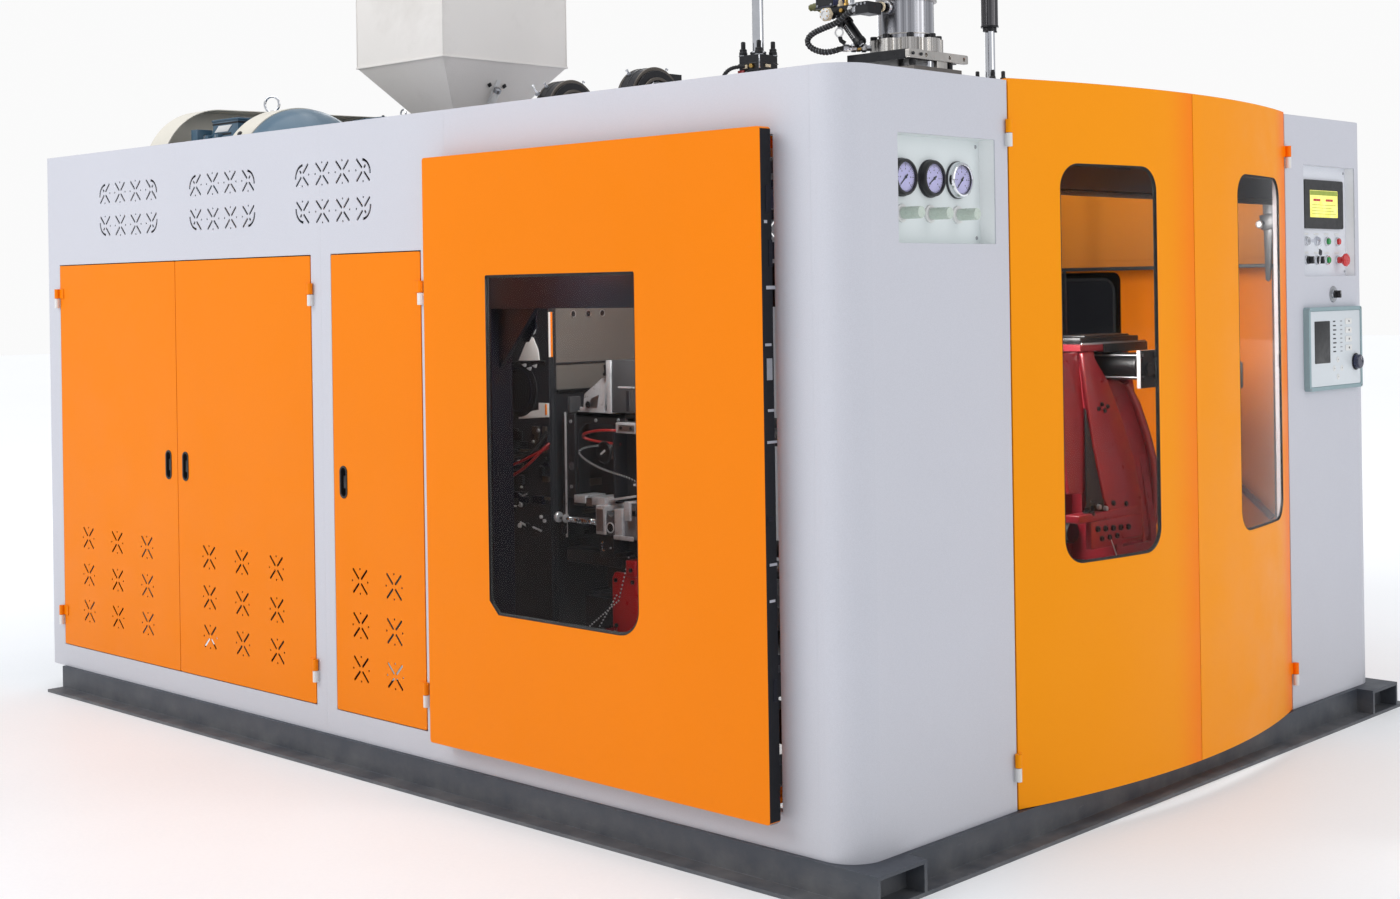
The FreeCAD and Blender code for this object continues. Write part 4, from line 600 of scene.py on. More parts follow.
# ------------------------------------------------------------------- stage
def make_stage():
    bm = bmesh.new()
    s = 40.0
    v = [bm.verts.new((x, y, 0.0)) for x, y in ((-s, -s), (s, -s), (s, s), (-s, s))]
    bm.faces.new(v)
    me = bpy.data.meshes.new("floor")
    bm.to_mesh(me)
    bm.free()
    g = Graph("m_floor")
    n = g.noise(0.7, 5.0, 0.6)
    g.link(g.mix(g.remap(n, 0.3, 0.7), (0.52, 0.54, 0.56), (0.56, 0.58, 0.60)), g.bsdf.inputs["Base Color"])
    # painted light: the floor glows by emission, more with distance from the machine, so the far floor fades into the
    # white backdrop
    flat = g.node("ShaderNodeVectorMath", operation="LENGTH")
    g.link(g.stretched(1.0, 1.0, 0.0), flat.inputs[0])
    g.link(g.remap(flat.outputs["Value"], 2.4, 6.0, 0.34, 0.62), g.bsdf.inputs["Emission Strength"])
    g.bsdf.inputs["Emission Color"].default_value = (1.0, 1.0, 1.0, 1.0)
    f = g.noise(90.0, 4.0, 0.6)
    g.link(g.remap(f, 0.3, 0.7, 0.42, 0.60), g.bsdf.inputs["Roughness"])
    g.link(g.bump(f, 0.05, 0.001), g.bsdf.inputs["Normal"])
    me.materials.append(g.m)
    ob = bpy.data.objects.new("floor", me)
    bpy.context.scene.collection.objects.link(ob)

    def area(name, loc, target, size, power, color=(1, 1, 1)):
        d = bpy.data.lights.new(name, "AREA")
        d.shape = "RECTANGLE"
        d.size, d.size_y = size
        d.energy = power
        d.color = color
        o = bpy.data.objects.new(name, d)
        o.location = loc
        o.rotation_mode = "QUATERNION"
        o.rotation_quaternion = (Vector(target) - Vector(loc)).to_track_quat("-Z", "Y")
        bpy.context.scene.collection.objects.link(o)

    area("key", (-2.5, -8.0, 6.5), (0, 0, 1.0), (7.0, 5.0), 375)
    area("fill", (8.5, 1.5, 4.5), (0, 0, 1.0), (5.0, 5.0), 105)
    area("top", (0, 0, 8.0), (0, 0, 0), (8.0, 6.0), 215)
    area("back", (-6.0, 7.0, 5.0), (0, 0, 1.0), (5.0, 4.0), 120)
    # soft light inside the cover, so that the fittings show through the windows
    area("inner_mould", (1.05, -0.25, 1.55), (1.1, 1.2, 1.2), (0.5, 0.5), 34, (1.0, 0.97, 0.93))
    area("inner_near", (0.9, -1.16, 1.55), (0.4, -0.8, 0.8), (0.3, 0.2), 8, (1.0, 0.98, 0.96))
    bpy.context.scene.view_settings.view_transform = "Standard"
    w = bpy.data.worlds.new("studio")
    w.use_nodes = True
    bg = w.node_tree.nodes["Background"]
    bg.inputs[0].default_value = (0.93, 0.95, 1.0, 1.0)
    bg.inputs[1].default_value = 0.60
    back = w.node_tree.nodes.new("ShaderNodeBackground")
    back.inputs[0].default_value = (1.0, 1.0, 1.0, 1.0)
    back.inputs[1].default_value = 0.96
    path = w.node_tree.nodes.new("ShaderNodeLightPath")
    both = w.node_tree.nodes.new("ShaderNodeMixShader")
    w.node_tree.links.new(path.outputs["Is Camera Ray"], both.inputs[0])
    w.node_tree.links.new(bg.outputs[0], both.inputs[1])
    w.node_tree.links.new(back.outputs[0], both.inputs[2])
    w.node_tree.links.new(both.outputs[0], w.node_tree.nodes["World Output"].inputs[0])
    bpy.context.scene.world = w


make_stage()

# ------------------------------------------------------------------ pieces
def arc_outline(pts, rads, seg=6):
    """Closed outline with rounded (r > 0) or chamfered (r < 0) corners."""
    out, n = [], len(pts)
    for i in range(n):
        p0, p1, p2 = (Vector(pts[k % n]) for k in (i - 1, i, i + 1))
        r = rads[i] if isinstance(rads, (list, tuple)) else rads
        u, w = (p0 - p1).normalized(), (p2 - p1).normalized()
        if r < 0:
            out += [p1 - u * r, p1 - w * r]
        elif r == 0:
            out.append(p1)
        else:
            half = math.acos(max(-1.0, min(1.0, u.dot(w)))) / 2
            d = r / math.tan(half)
            c = p1 + (u + w).normalized() * (r / math.sin(half))
            a, b = p1 + u * d - c, p1 + w * d - c
            t = a.angle_signed(b)
            for k in range(seg + 1):
                out.append(c + Matrix.Rotation(-t * k / seg, 2) @ a)
    return [(p.x, p.y) for p in out]


def rect_outline(x0, z0, x1, z1, r, seg=6):
    return arc_outline([(x0, z0), (x1, z0), (x1, z1), (x0, z1)], r, seg)


def loft(b, rings, mi=0, cap0=False, cap1=False, close=False):
    """Skin through closed rings of equal point count."""
    bm = bmesh.new()
    vs = [[bm.verts.new(p) for p in r] for r in rings]
    pairs = list(zip(vs, vs[1:])) + ([(vs[-1], vs[0])] if close else [])
    n = len(vs[0])
    for a, c in pairs:
        for i in range(n):
            j = (i + 1) % n
            bm.faces.new((a[i], a[j], c[j], c[i]))
    if cap0:
        bm.faces.new(vs[0])
    if cap1:
        bm.faces.new(vs[-1])
    bmesh.ops.recalc_face_normals(bm, faces=bm.faces)
    b._merge(bm, mi)
    return b


def scaled(outline, k):
    """The outline moved inwards by about k, kept point for point."""
    n, out = len(outline), []
    for i in range(n):
        a, p, c = (Vector(outline[j % n]) for j in (i - 1, i, i + 1))
        e1, e2 = p - a, c - p
        if e1.length < 1e-6:
            e1 = e2
        if e2.length < 1e-6:
            e2 = e1
        t = (e1.normalized() + e2.normalized()).normalized()
        out.append((p.x - t.y * k, p.y + t.x * k))
    return out


def door_x(y):
    return DOOR_CX + math.sqrt(R_DOOR ** 2 - (y - DOOR_CY) ** 2)


# ---- recessed pulls of the service doors
def pull(name, body, cx):
    b = Build("m_black_plastic")
    def ring(w, y):
        pts = []
        for i in range(13):
            a = math.pi * i / 12
            pts.append((cx + w * math.cos(a), y, 833 + w * math.sin(a)))
        for i in range(13):
            a = math.pi + math.pi * i / 12
            pts.append((cx + w * math.cos(a), y, 775 + w * math.sin(a)))
        return pts
    y0 = YN - 1
    loft(b, [ring(w, y0 + d) for w, d in ((12.0, 0.2), (17.0, 0.0), (17.4, -1.2), (16.6, -2.6), (13.2, -2.8),
                                         (11.6, -1.6), (10.9, 3.0), (10.4, 12.0), (9.0, 14.0))], cap1=True)
    b.box(cx - 4.5, y0 + 2.0, 786, cx + 9.0, y0 + 5.5, 822, b=1.5)
    b.done(name, body)


pull("pull_rear_left", "rear_left_door", XR - 2784)
pull("pull_rear_right", "rear_right_door", XR - 2684)
pull("pull_middle", "middle_door", XR - 1846)


# ---- rubber beads round the windows
def flat_bead(name, body, win_x, win_z, rads, y, side, r_in=7.0):
    b = Build("m_rubber")
    o = arc_outline([(win_x[0], win_z[0]), (win_x[1], win_z[0]), (win_x[1], win_z[1]), (win_x[0], win_z[1])], rads)
    i1, i2 = scaled(o, 1.2), scaled(o, -3.0)
    f = lambda ol, yy: [(x, yy, z) for x, z in ol]
    s = 1 if side > 0 else -1
    loft(b, [f(i1, y - s * 0.6), f(i1, y + s * 3.8), f(scaled(o, r_in), y + s * 5.6), f(scaled(o, r_in), y + s * 6.6),
             f(i2, y + s * 6.8), f(i2, y + s * 6.0), f(o, y + s * 3.0), f(o, y - s * 0.6)], close=True)
    b.done(name, body)


def window_bead(name, body, win):
    b = Build("m_rubber")
    o = rect_outline(win[0], 649, win[1], 1627, 62, 10)
    dense = []
    for (y0, z0), (y1, z1) in zip(o, o[1:] + o[:1]):
        k = max(1, int(abs(y1 - y0) // 40))
        dense += [(y0 + (y1 - y0) * t / k, z0 + (z1 - z0) * t / k) for t in range(k)]
    o = dense
    f = lambda ol, d: [(door_x(y) + d, y, z) for y, z in ol]
    i1 = scaled(o, 2.0)
    loft(b, [f(i1, 0.3), f(i1, -2.2), f(scaled(o, 6), -7.0), f(scaled(o, 5), -8.5), f(scaled(o, -6), -8.5),
             f(scaled(o, -6), -6.5), f(scaled(o, 0.3), -2.4), f(scaled(o, 0.3), 0.3)], close=True)
    b.done(name, body)


window_bead("bead_front_left", "front_left", (-515.0, -150.0))
window_bead("bead_front_right", "front_right", (288.0, 652.0))


# ---- gauges: dial, scale, needle, lens
GX = XR - 45.0
def gauges():
    for name, y, turn in (("left", -1035.0, 222), ("middle", -928.0, 215), ("right", -821.0, 228)):
        b = Build("m_lilac", "m_mark", "m_dark_steel", "m_red")
        c = Vector((0, y, 1579.0))
        b.lathe((GX + 13.1, y, 1579), "X", [(0, 0.6), (32.6, 0.6), (33.6, 0.0)], 48, 0)
        b.ring((GX + 13.5, y, 1579), "X", 31.8, 31.2, 0.5, 0.1, 48, 1)
        for k in range(31):
            a = math.radians(-45 + 270 * k / 30)
            rot = Matrix.Translation(c) @ Matrix.Rotation(-a, 4, "X") @ Matrix.Translation(-c)
            major = k % 5 == 0
            b.box(GX + 13.6, y - 31 , 1579 - (0.55 if major else 0.3), GX + 14.1, y - (23.5 if major else 27.0),
                  1579 + (0.55 if major else 0.3), b=0, mi=1, m=rot)
        for k in range(7):
            a = math.radians(-45 + 45 * k)
            cy, cz = y - 18.5 * math.cos(a), 1579 + 18.5 * math.sin(a)
            b.box(GX + 13.6, cy - 1.1, cz - 1.6, GX + 14.0, cy + 1.1, cz + 1.6, b=0.2, mi=1)
        rot = Matrix.Translation(c) @ Matrix.Rotation(math.radians(turn - 180), 4, "X") @ Matrix.Translation(-c)
        b.prism([(y - 25, 1578.2), (y - 25, 1579.8), (y + 9, 1581.2), (y + 9, 1576.8)], "YZ", GX + 14.6, GX + 15.2, 0, mi=1,
                m=rot)
        b.disc((GX + 14.2, y, 1579), "X", 3.6, 1.8, 0.5, 20, 2)
        b.done("dial_" + name, "root")
        b = Build("m_lens")
        b.lathe((GX + 16.2, y, 1579), "X", [(0, 0), (33.9, 0), (33.9, 0.8), (22, 1.5), (0, 1.9)], 40)
        b.done("lens_" + name, "root")
        b = Build("m_black_plastic" if name != "right" else "m_chrome", "m_chrome")
        b.lathe((GX + 5, y, 1579), "X", [(38.2, 0), (42.5, 0), (42.9, 2), (41.6, 11), (39.2, 14.2), (35.6, 15.2),
                                        (34.2, 14.0), (34.0, 11.5)], 56, 0)
        b.done("gauge_bezel_" + name, "root")
        b = Build("m_white", "m_galv")
        b.lathe((GX, y, 1498), "X", [(10, 0), (20.5, 0), (20.8, 1.0), (20.5, 4.2), (16.8, 5.0), (15.2, 5.2), (15.2, 7.4),
                                     (10, 7.6)], 40, 0)
        b.done("regulator_collar_" + name, "root")
    b = Build("m_galv")
    for y, z in ((-1088, 1660), (-745, 1660), (-1088, 1444), (-745, 1444)):
        b.lathe((GX, y, z), "X", [(0, 2.2), (2.4, 2.0), (4.2, 0.8), (4.6, 0)], 20)
        b.box(GX + 2.0, y - 3, z - 0.5, GX + 2.5, y + 3, z + 0.5, b=0.1)
    b.done("gauge_tray_screws", "root")


gauges()

# ---- control desk
CXP = XR - 30.0
def control():
    g = Graph("m_screen")
    n = g.noise(26.0, 4.0, 0.6)
    col = g.mix(g.remap(n, 0.3, 0.7), srgb(246, 238, 96), srgb(255, 250, 150))
    g.link(col, g.bsdf.inputs["Base Color"])
    g.link(col, g.bsdf.inputs["Emission Color"])
    g.bsdf.inputs["Emission Strength"].default_value = 0.35
    g.link(g.remap(g.noise(50.0), 0.3, 0.7, 0.12, 0.2), g.bsdf.inputs["Roughness"])
    MATS["m_screen"] = g.m
    g = Graph("m_screen_head")
    n = g.noise(26.0, 4.0, 0.6)
    g.link(g.mix(g.remap(n, 0.3, 0.7), srgb(150, 170, 60), srgb(176, 190, 70)), g.bsdf.inputs["Base Color"])
    g.link(g.remap(g.noise(50.0), 0.3, 0.7, 0.12, 0.2), g.bsdf.inputs["Roughness"])
    MATS["m_screen_head"] = g.m
    b = Build("m_screen", "m_red", "m_screen_head", "m_mark")
    x = CXP + 7.6
    b.prism(rect_outline(935, 1523, 1121, 1605, 1.0, 2), "YZ", x, x + 0.5, 0, mi=0)
    b.prism(rect_outline(937, 1590, 1119, 1603.5, 1.0, 2), "YZ", x + 0.5, x + 0.7, 0, mi=2)
    for y0, y1 in ((958, 1004), (1040, 1088)):
        b.prism(rect_outline(y0, 1572, y1, 1579, 1.0, 2), "YZ", x + 0.5, x + 0.8, 0, mi=1)
    for k in range(4):
        z = 1533 + k * 9
        b.prism(rect_outline(948, z, 1108 - 14 * (k % 3), z + 1.6, 0.5, 2), "YZ", x + 0.5, x + 0.7, 0, mi=2)
    b.done("touch_screen", "root")
    b = Build("m_galv", "m_white")
    for y, z in ((862, 1662), (1178, 1662), (862, 1360), (1178, 1360)):
        b.lathe((CXP, y, z), "X", [(0, 2.2), (2.4, 2.0), (4.2, 0.8), (4.6, 0)], 20)
        b.box(CXP + 2.0, y - 3, z - 0.5, CXP + 2.5, y + 3, z + 0.5, b=0.1)
    b.done("control_tray_screws", "root")
    # small blank tags over the buttons
    b = Build("m_white")
    for z in (1451.0, 1394.0):
        for y in (921.0, 989.0, 1057.0, 1127.0):
            b.prism(rect_outline(y - 15, z + 19, y + 15, z + 25, 1.0, 2), "YZ", CXP, CXP + 0.9, 0.2)
    b.done("button_tags", "root")
    # white pointers on the turning switches
    for name, x0, y, z in (("left_selector", CXP, 921.0, 1394.0), ("right_selector", CXP, 989.0, 1394.0),
                           ("rotary_switch", XR, 1034.0, 1290.0)):
        b = Build("m_white")
        b.box(x0 + 24.6, y - 0.9, z + 1, x0 + 25.5, y + 0.9, z + 9.5, b=0.3)
        b.done(name + "_pointer", name)
    # ring with the spare key
    b = Build("m_chrome", "m_dark_steel")
    kx, ky, kz = CXP + 42.0, 921.0, 1451.0
    pts = [(kx, ky + 13 * math.sin(2 * math.pi * i / 28), kz - 13 + 13 * math.cos(2 * math.pi * i / 28)) for i in range(29)]
    b.tube(pts, 0.9, 8, 0, cap=False)
    b.prism(arc_outline([(ky - 3, kz - 24), (ky + 15, kz - 30), (ky + 11, kz - 46), (ky - 8, kz - 41)], 5.0, 4), "YZ",
            kx + 1.2, kx + 3.0, 0.3, mi=1)
    b.prism([(ky - 1, kz - 42), (ky + 6, kz - 44), (ky - 1, kz - 74), (ky - 6, kz - 71)], "YZ", kx + 1.4, kx + 2.8, 0.3, mi=0)
    b.done("spare_key", "key_switch")
    # plate under the rotary switch
    b = Build("m_galv")
    b.lathe((XR, 1034, 1290), "X", [(15.2, 0), (24.5, 0), (25, 1.2), (24, 2.6), (15.2, 2.8)], 40)
    b.done("rotary_plate", "root")


control()


# ---- lower controller
def controller():
    x = XR + 16.0
    b = Build("m_unit_face", "m_black_plastic", "m_mark", "m_galv", "m_white")
    hole = rect_outline(847.5, 1015.5, 1178.5, 1239.5, 4, 4)
    b.prism(hole, "YZ", x, x + 0.9, 0.2, mi=0)
    b.prism(rect_outline(872, 1084, 972, 1210, 3, 3), "YZ", x + 0.9, x + 2.2, 0.4, mi=1)
    for k in range(8):
        z = 1208 - k * 13.0
        b.prism(rect_outline(994, z - 2.0, 1010 + 3 * (k % 3), z + 2.0, 0.6, 2), "YZ", x + 0.9, x + 1.2, 0, mi=2)
        b.prism(rect_outline(1042, z - 1.8, 1056, z + 1.8, 0.6, 2), "YZ", x + 0.9, x + 1.2, 0, mi=3)
    for k in range(4):
        z = 1207 - k * 27
        b.prism(rect_outline(1076, z - 9, 1120, z + 9, 4, 4), "YZ", x + 0.9, x + 2.4, 0.6, mi=4)
        b.disc((x + 2.4, 1100, z), "X", 3.4, 0.4, 0.1, 14, 2)
    for dy, dz in ((0, 26), (0, -26), (-26, 0), (26, 0)):
        b.lathe((x + 0.9, 1024 + dy, 1066 + dz), "X", [(0, 1.8), (7.0, 1.8), (8.6, 1.2), (9.0, 0)], 24, 4)
        b.disc((x + 2.7, 1024 + dy, 1066 + dz), "X", 2.2, 0.3, 0.1, 10, 3)
    for y, z in ((841, 1009), (1185, 1009), (841, 1246), (1185, 1246)):
        b.screw((XR + 18, y, z), "X", 2.6, 1.4, 3)
    b.done("controller_face", "root")
    b = Build("m_black_plastic", "m_white")
    b.ring((XR + 18, 1144, 1082), "X", 26, 22.6, 1.6, 0.4, 40, 0)
    b.done("controller_knob_skirt", "root")
    b = Build("m_white")
    b.box(XR + 35.2, 1143.2, 1088, XR + 36.0, 1144.8, 1100, b=0.3)
    b.done("controller_knob_mark", "program_knob")


controller()


# ---- what holds the sliding doors, in the gap beside each one
def slide_gap(side, body):
    s = 1 if side == "near" else -1
    def bx(b, x0, y0, z0, x1, y1, z1, bev=1.0, mi=0):
        b.box(x0, s * y0, z0, x1, s * y1, z1, bev, 2, mi)
    b = Build("m_galv", "m_black_plastic", "m_white", "m_red")
    for z0, z1 in ((1640, 1668), (172, 200)):
        bx(b, 1532, YN - 58, z0, 1556, YN - 27, z0 + 4)
        bx(b, 1552, YN - 56, z0 - 22, 1555.5, YN - 30, z1)
        b.lathe((1541, s * (YN - 27), z0 + 14), "Y", [(0, -20 * s), (11, -20 * s), (12.5, -18 * s), (12.5, -4 * s),
                                                       (11, -2 * s), (0, -2 * s)], 28, 1)
    bx(b, 1528, YN - 50, 1560, 1554, YN - 30, 1563)
    bx(b, 1551, YN - 52, 1540, 1554, YN - 30, 1600, mi=2)
    bx(b, 1530, YN - 54, 1250, 1555, YN - 30, 1290, 2.0, 0)
    bx(b, 1532, YN - 52, 232, 1554, YN - 32, 240, mi=3)
    b.done(side + "_door_rollers", body)


slide_gap("near", "near_slide")
slide_gap("far", "far_slide")
flat_bead("bead_near_slide", "near_slide", (612.0, 1155.0), (516.0, 1377.0), [-34, 66, 5, 5], YN - 61, 1)
flat_bead("bead_far_slide", "far_slide", (434.0, 808.0), (640.0, 1350.0), [45, 45, 45, 45], -(YN - 61), -1)


# ---- inner face of the far sliding door: its pull, seen through the windows
def far_inside():
    b = Build("m_black_plastic")
    y = YF + 58.0
    b.prism(rect_outline(1262, 976, 1290, 1070, 12, 5), "XZ", y - 3.5, y, 0.8)
    b.done("far_door_inner_pull", "far_slide")


far_inside()


# ---- recesses, painted light and shade: far wall painted pale where light falls, ceiling painted dark where shade falls; edge of the near sliding door painted dark as the shade in its slot
def repaint_side(node, mat, test):
    me = NODES[node].data
    me.materials.append(MATS[mat])
    k = len(me.materials) - 1
    for p in me.polygons:
        c = p.center
        if test(c.x * 1000, c.y * 1000, c.z * 1000, p.normal):
            p.material_index = k


# painted light and shade for the recesses: a near-white wall where light falls and a dark ceiling where shade falls
paint("m_wall_painted_light", srgb(246, 248, 248), rough=0.5, patch=0.02, patch_scale=3.0, grain=0.04, peel=0.1)
paint("m_wall_painted_shade", srgb(54, 57, 62), rough=0.5, patch=0.10, patch_scale=3.0, grain=0.06, peel=0.1)
for n in ("gauge_panel", "control_panel"):
    co = [v.co.copy() for v in NODES[n].data.vertices]
    ymax, ztop = max(c.y for c in co) * 1000, max(c.z for c in co) * 1000
    repaint_side(n, "m_wall_painted_light", lambda x, y, z, nn: nn.y < -0.9 and y > ymax - 12)
    repaint_side(n, "m_wall_painted_shade", lambda x, y, z, nn: nn.z < -0.9 and z > ztop - 12)
# painted shade: the outer edge face of the orange near sliding door is painted near black for the shaded slot beside it
edge_x = max(v.co.x for v in NODES["near_slide_door"].data.vertices) * 1000
paint("m_door_edge_painted_shade", srgb(24, 25, 30), rough=0.5, patch=0.2, patch_scale=5.0, grain=0.1, peel=0.3, spec=0.2)
repaint_side("near_slide_door", "m_door_edge_painted_shade", lambda x, y, z, nn: nn.x > 0.9 and x > edge_x - 3)
steel("m_silver_trim", srgb(206, 207, 212), rough=0.4, streak=(1.0, 1.0, 1.0), streak_scale=40.0, edge=0.4)
b = Build("m_galv", "m_black_plastic", "m_silver_trim", "m_navy")
ex = edge_x
for z0, z1, y0, y1, mi in ((1476, 1483, -44, -30, 2), (1330, 1338, -40, -6, 2), (1205, 1211, -46, -22, 2),
                           (1130, 1178, -42, -20, 0), (1060, 1066, -40, -16, 2), (990, 996, -44, -8, 2),
                           (820, 830, -46, -24, 3), (720, 726, -42, -14, 2), (640, 646, -44, -22, 2), (420, 470, -36, -20, 3),
                           (1500, 1560, -38, -16, 3), (1380, 1440, -30, -14, 3)):
    b.box(ex - 0.5, -1298 + y0 + 8, z0, ex + 1.4, -1298 + y1 + 4, z1, 0.4, 1, mi)
b.done("near_door_edge_strip", "near_slide")

# ---- second finishes on parts of a CAD solid
def repaint(node, mat, test):
    me = NODES[node].data
    me.materials.append(MATS[mat])
    k = len(me.materials) - 1
    for p in me.polygons:
        c = p.center
        if test(c.x * 1000, c.y * 1000, c.z * 1000):
            p.material_index = k


def turned_about(name, cx, cy, low, high, rough, scale=5.0):
    """Turned steel with painted reflections: its tone runs in upright bright and dark streaks round an axis."""
    g = Graph(name)
    sep = g.node("ShaderNodeSeparateXYZ")
    g.link(g.obj, sep.inputs[0])
    dx, dy = g.node("ShaderNodeMath", operation="SUBTRACT"), g.node("ShaderNodeMath", operation="SUBTRACT")
    g.link(sep.outputs["X"], dx.inputs[0])
    dx.inputs[1].default_value = cx
    g.link(sep.outputs["Y"], dy.inputs[0])
    dy.inputs[1].default_value = cy
    at = g.node("ShaderNodeMath", operation="ARCTAN2")
    g.link(dy.outputs[0], at.inputs[0])
    g.link(dx.outputs[0], at.inputs[1])
    com = g.node("ShaderNodeCombineXYZ")
    g.link(at.outputs[0], com.inputs["X"])
    broad = g.noise(scale, 2.0, 0.6, vec=com.outputs[0])
    fine = g.noise(scale * 14, 4.0, 0.7, vec=com.outputs[0])
    f = g.math("ADD", g.remap(broad, 0.36, 0.64, 0.0, 0.8), g.remap(fine, 0.35, 0.65, 0.0, 0.2))
    g.link(g.mix(f, low, high), g.bsdf.inputs["Base Color"])
    g.link(g.remap(fine, 0.3, 0.7, rough * 0.8, rough * 1.3), g.bsdf.inputs["Roughness"])
    rings = g.noise(30.0, 3.0, 0.6, vec=g.stretched(0.2, 0.2, 22.0))
    g.link(g.bump(rings, 0.06, 0.0004), g.bsdf.inputs["Normal"])
    g.bsdf.inputs["Metallic"].default_value = 1.0
    MATS[name] = g.m


# painted reflections: head, flange and sleeve steels carry streaks of bright and dark tone round their axes
turned_about("m_head_steel", 0.936, 0.0, srgb(84, 84, 90), srgb(232, 232, 236), 0.20, 4.2)
turned_about("m_flange_steel", 0.936, 0.0, srgb(112, 108, 104), srgb(246, 242, 236), 0.24, 9.0)
turned_about("m_sleeve", 0.847, 0.552, srgb(16, 16, 18), srgb(128, 126, 128), 0.16, 3.6)
steel("m_bar_steel", srgb(200, 196, 190), rough=0.34, streak=(1.0, 30.0, 1.0), streak_scale=16.0, tint=srgb(120, 112, 104),
      tint_amount=0.7, edge=0.4)
paint("m_cabinet", srgb(34, 35, 40), rough=0.45, patch=0.15, patch_scale=4.0, grain=0.08, peel=0.2, edge=0.5,
      edge_color=srgb(90, 92, 100))
paint("m_inner_red", srgb(150, 26, 26), rough=0.36, patch=0.1, patch_scale=14.0, peel=0.12, coat=0.3)

NODES["head_cylinder"].data.materials.clear()
NODES["head_cylinder"].data.materials.append(MATS["m_head_steel"])
repaint("head_cylinder", "m_flange_steel", lambda x, y, z: z < 2053.5)
repaint("head_cylinder", "m_fitting", lambda x, y, z: 2053.1 < z < 2064 and math.hypot(x - 936, y) > 86)
repaint("head_cylinder", "m_steel", lambda x, y, z: z < 2050 and math.hypot(x - 936, y) > 110)
repaint("die_head", "m_bar_steel", lambda x, y, z: z > 1986.5 and x > 1028.2)
repaint("die_head", "m_barrel", lambda x, y, z: z < 1968)
repaint("servo_valve", "m_valve_blue", lambda x, y, z: z > 2152.2)
# painted reflections: the sleeves of the blow rods take the streaked black steel
for n in ("near_blow_rod", "far_blow_rod"):
    repaint(n, "m_sleeve", lambda x, y, z: z > 2151.5)
repaint("drive_motor", "m_chrome", lambda x, y, z: z > 1938 and abs(x + 1305) < 32 and abs(y + 700) < 32)
repaint("base_frame", "m_navy", lambda x, y, z: abs(y) < 1150 and abs(x) < 1650)


# ---- the hose from the valve to the head, and its spiral wrap
def nurbs(name, pts, dia, mat):
    cu = bpy.data.curves.new(name, "CURVE")
    cu.dimensions = "3D"
    sp = cu.splines.new("NURBS")
    sp.points.add(len(pts) - 1)
    for p, c in zip(sp.points, pts):
        p.co = (c[0] * MM, c[1] * MM, c[2] * MM, 1.0)
    sp.order_u = 3
    sp.use_endpoint_u = True
    cu.resolution_u = 16
    ob = bpy.data.objects.new(name, cu)
    bpy.context.scene.collection.objects.link(ob)
    me = bpy.data.meshes.new_from_object(ob)
    line = [v.co * 1000 for v in me.vertices]
    bpy.data.meshes.remove(me)
    cu.bevel_depth = dia / 2 * MM
    cu.bevel_resolution = 4
    cu.use_fill_caps = True
    cu.materials.append(MATS[mat])
    return ob, line


def frames_along(line, step):
    """Points at equal steps along the line, each with two directions across it."""
    out, run, k = [], 0.0, 0
    total = sum((b - a).length for a, b in zip(line, line[1:]))
    n = max(2, int(total / step))
    u = None
    prev = None
    dist = [0.0]
    for a, b in zip(line, line[1:]):
        dist.append(dist[-1] + (b - a).length)
    for i in range(n + 1):
        s = total * i / n
        while k < len(line) - 2 and dist[k + 1] < s:
            k += 1
        seg = max(1e-9, dist[k + 1] - dist[k])
        p = line[k].lerp(line[k + 1], (s - dist[k]) / seg)
        t = (line[k + 1] - line[k]).normalized()
        if u is None:
            u = t.cross(Vector((0, 0, 1)) if abs(t.z) < 0.9 else Vector((1, 0, 0))).normalized()
        else:
            u = prev.rotation_difference(t) @ u
        u = (u - t * u.dot(t)).normalized()
        prev = t
        out.append((p, t, u, t.cross(u)))
    return out


def wrap_along(name, body, line, r, pitch, wire, mat, skip=(0.0, 0.0)):
    fr = frames_along(line, pitch / 12.0)
    a, z = int(len(fr) * skip[0]), int(len(fr) * (1 - skip[1]))
    pts = []
    for i in range(a, z):
        p, t, u, w = fr[i]
        an = 2 * math.pi * i / 12.0
        pts.append(p + (u * math.cos(an) + w * math.sin(an)) * r)
    b = Build(mat)
    b.tube(pts, wire, 6, 0)
    return b.done(name, body, angle=60)


HOSE = [(904, -185, 2132), (876, -185, 2132), (829, -185, 2102), (773, -185, 2092), (727, -185, 2080),
        (709, -185, 2060), (725, -179, 2037), (769, -176, 2022), (804, -170, 2024), (820.4, -149.5, 2033),
        (845.5, -117.1, 2033)]
hose, hose_line = nurbs("valve_hose_curve", HOSE, 16.0, "m_rubber")
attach(hose, "root")
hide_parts("valve_hose")
wrap = wrap_along("valve_hose_wrap", "root", hose_line, 8.3, 10.5, 1.5, "m_black_plastic", (0.02, 0.13))
# painted glints: a thin bright wire spiral laid over the black wrap
glints = wrap_along("valve_hose_painted_glint", "root", hose_line, 9.3, 10.5, 0.5, "m_galv", (0.03, 0.14))


def wire(name, body, pts, dia, mat, stiffness="medium", pieces=()):
    """A thin hose or wire seen from end to end; its length is that of its own line."""
    ob, line = nurbs(name, pts, dia, mat)
    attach(ob, body)
    extra = [f(line) for f in pieces]
    return ob


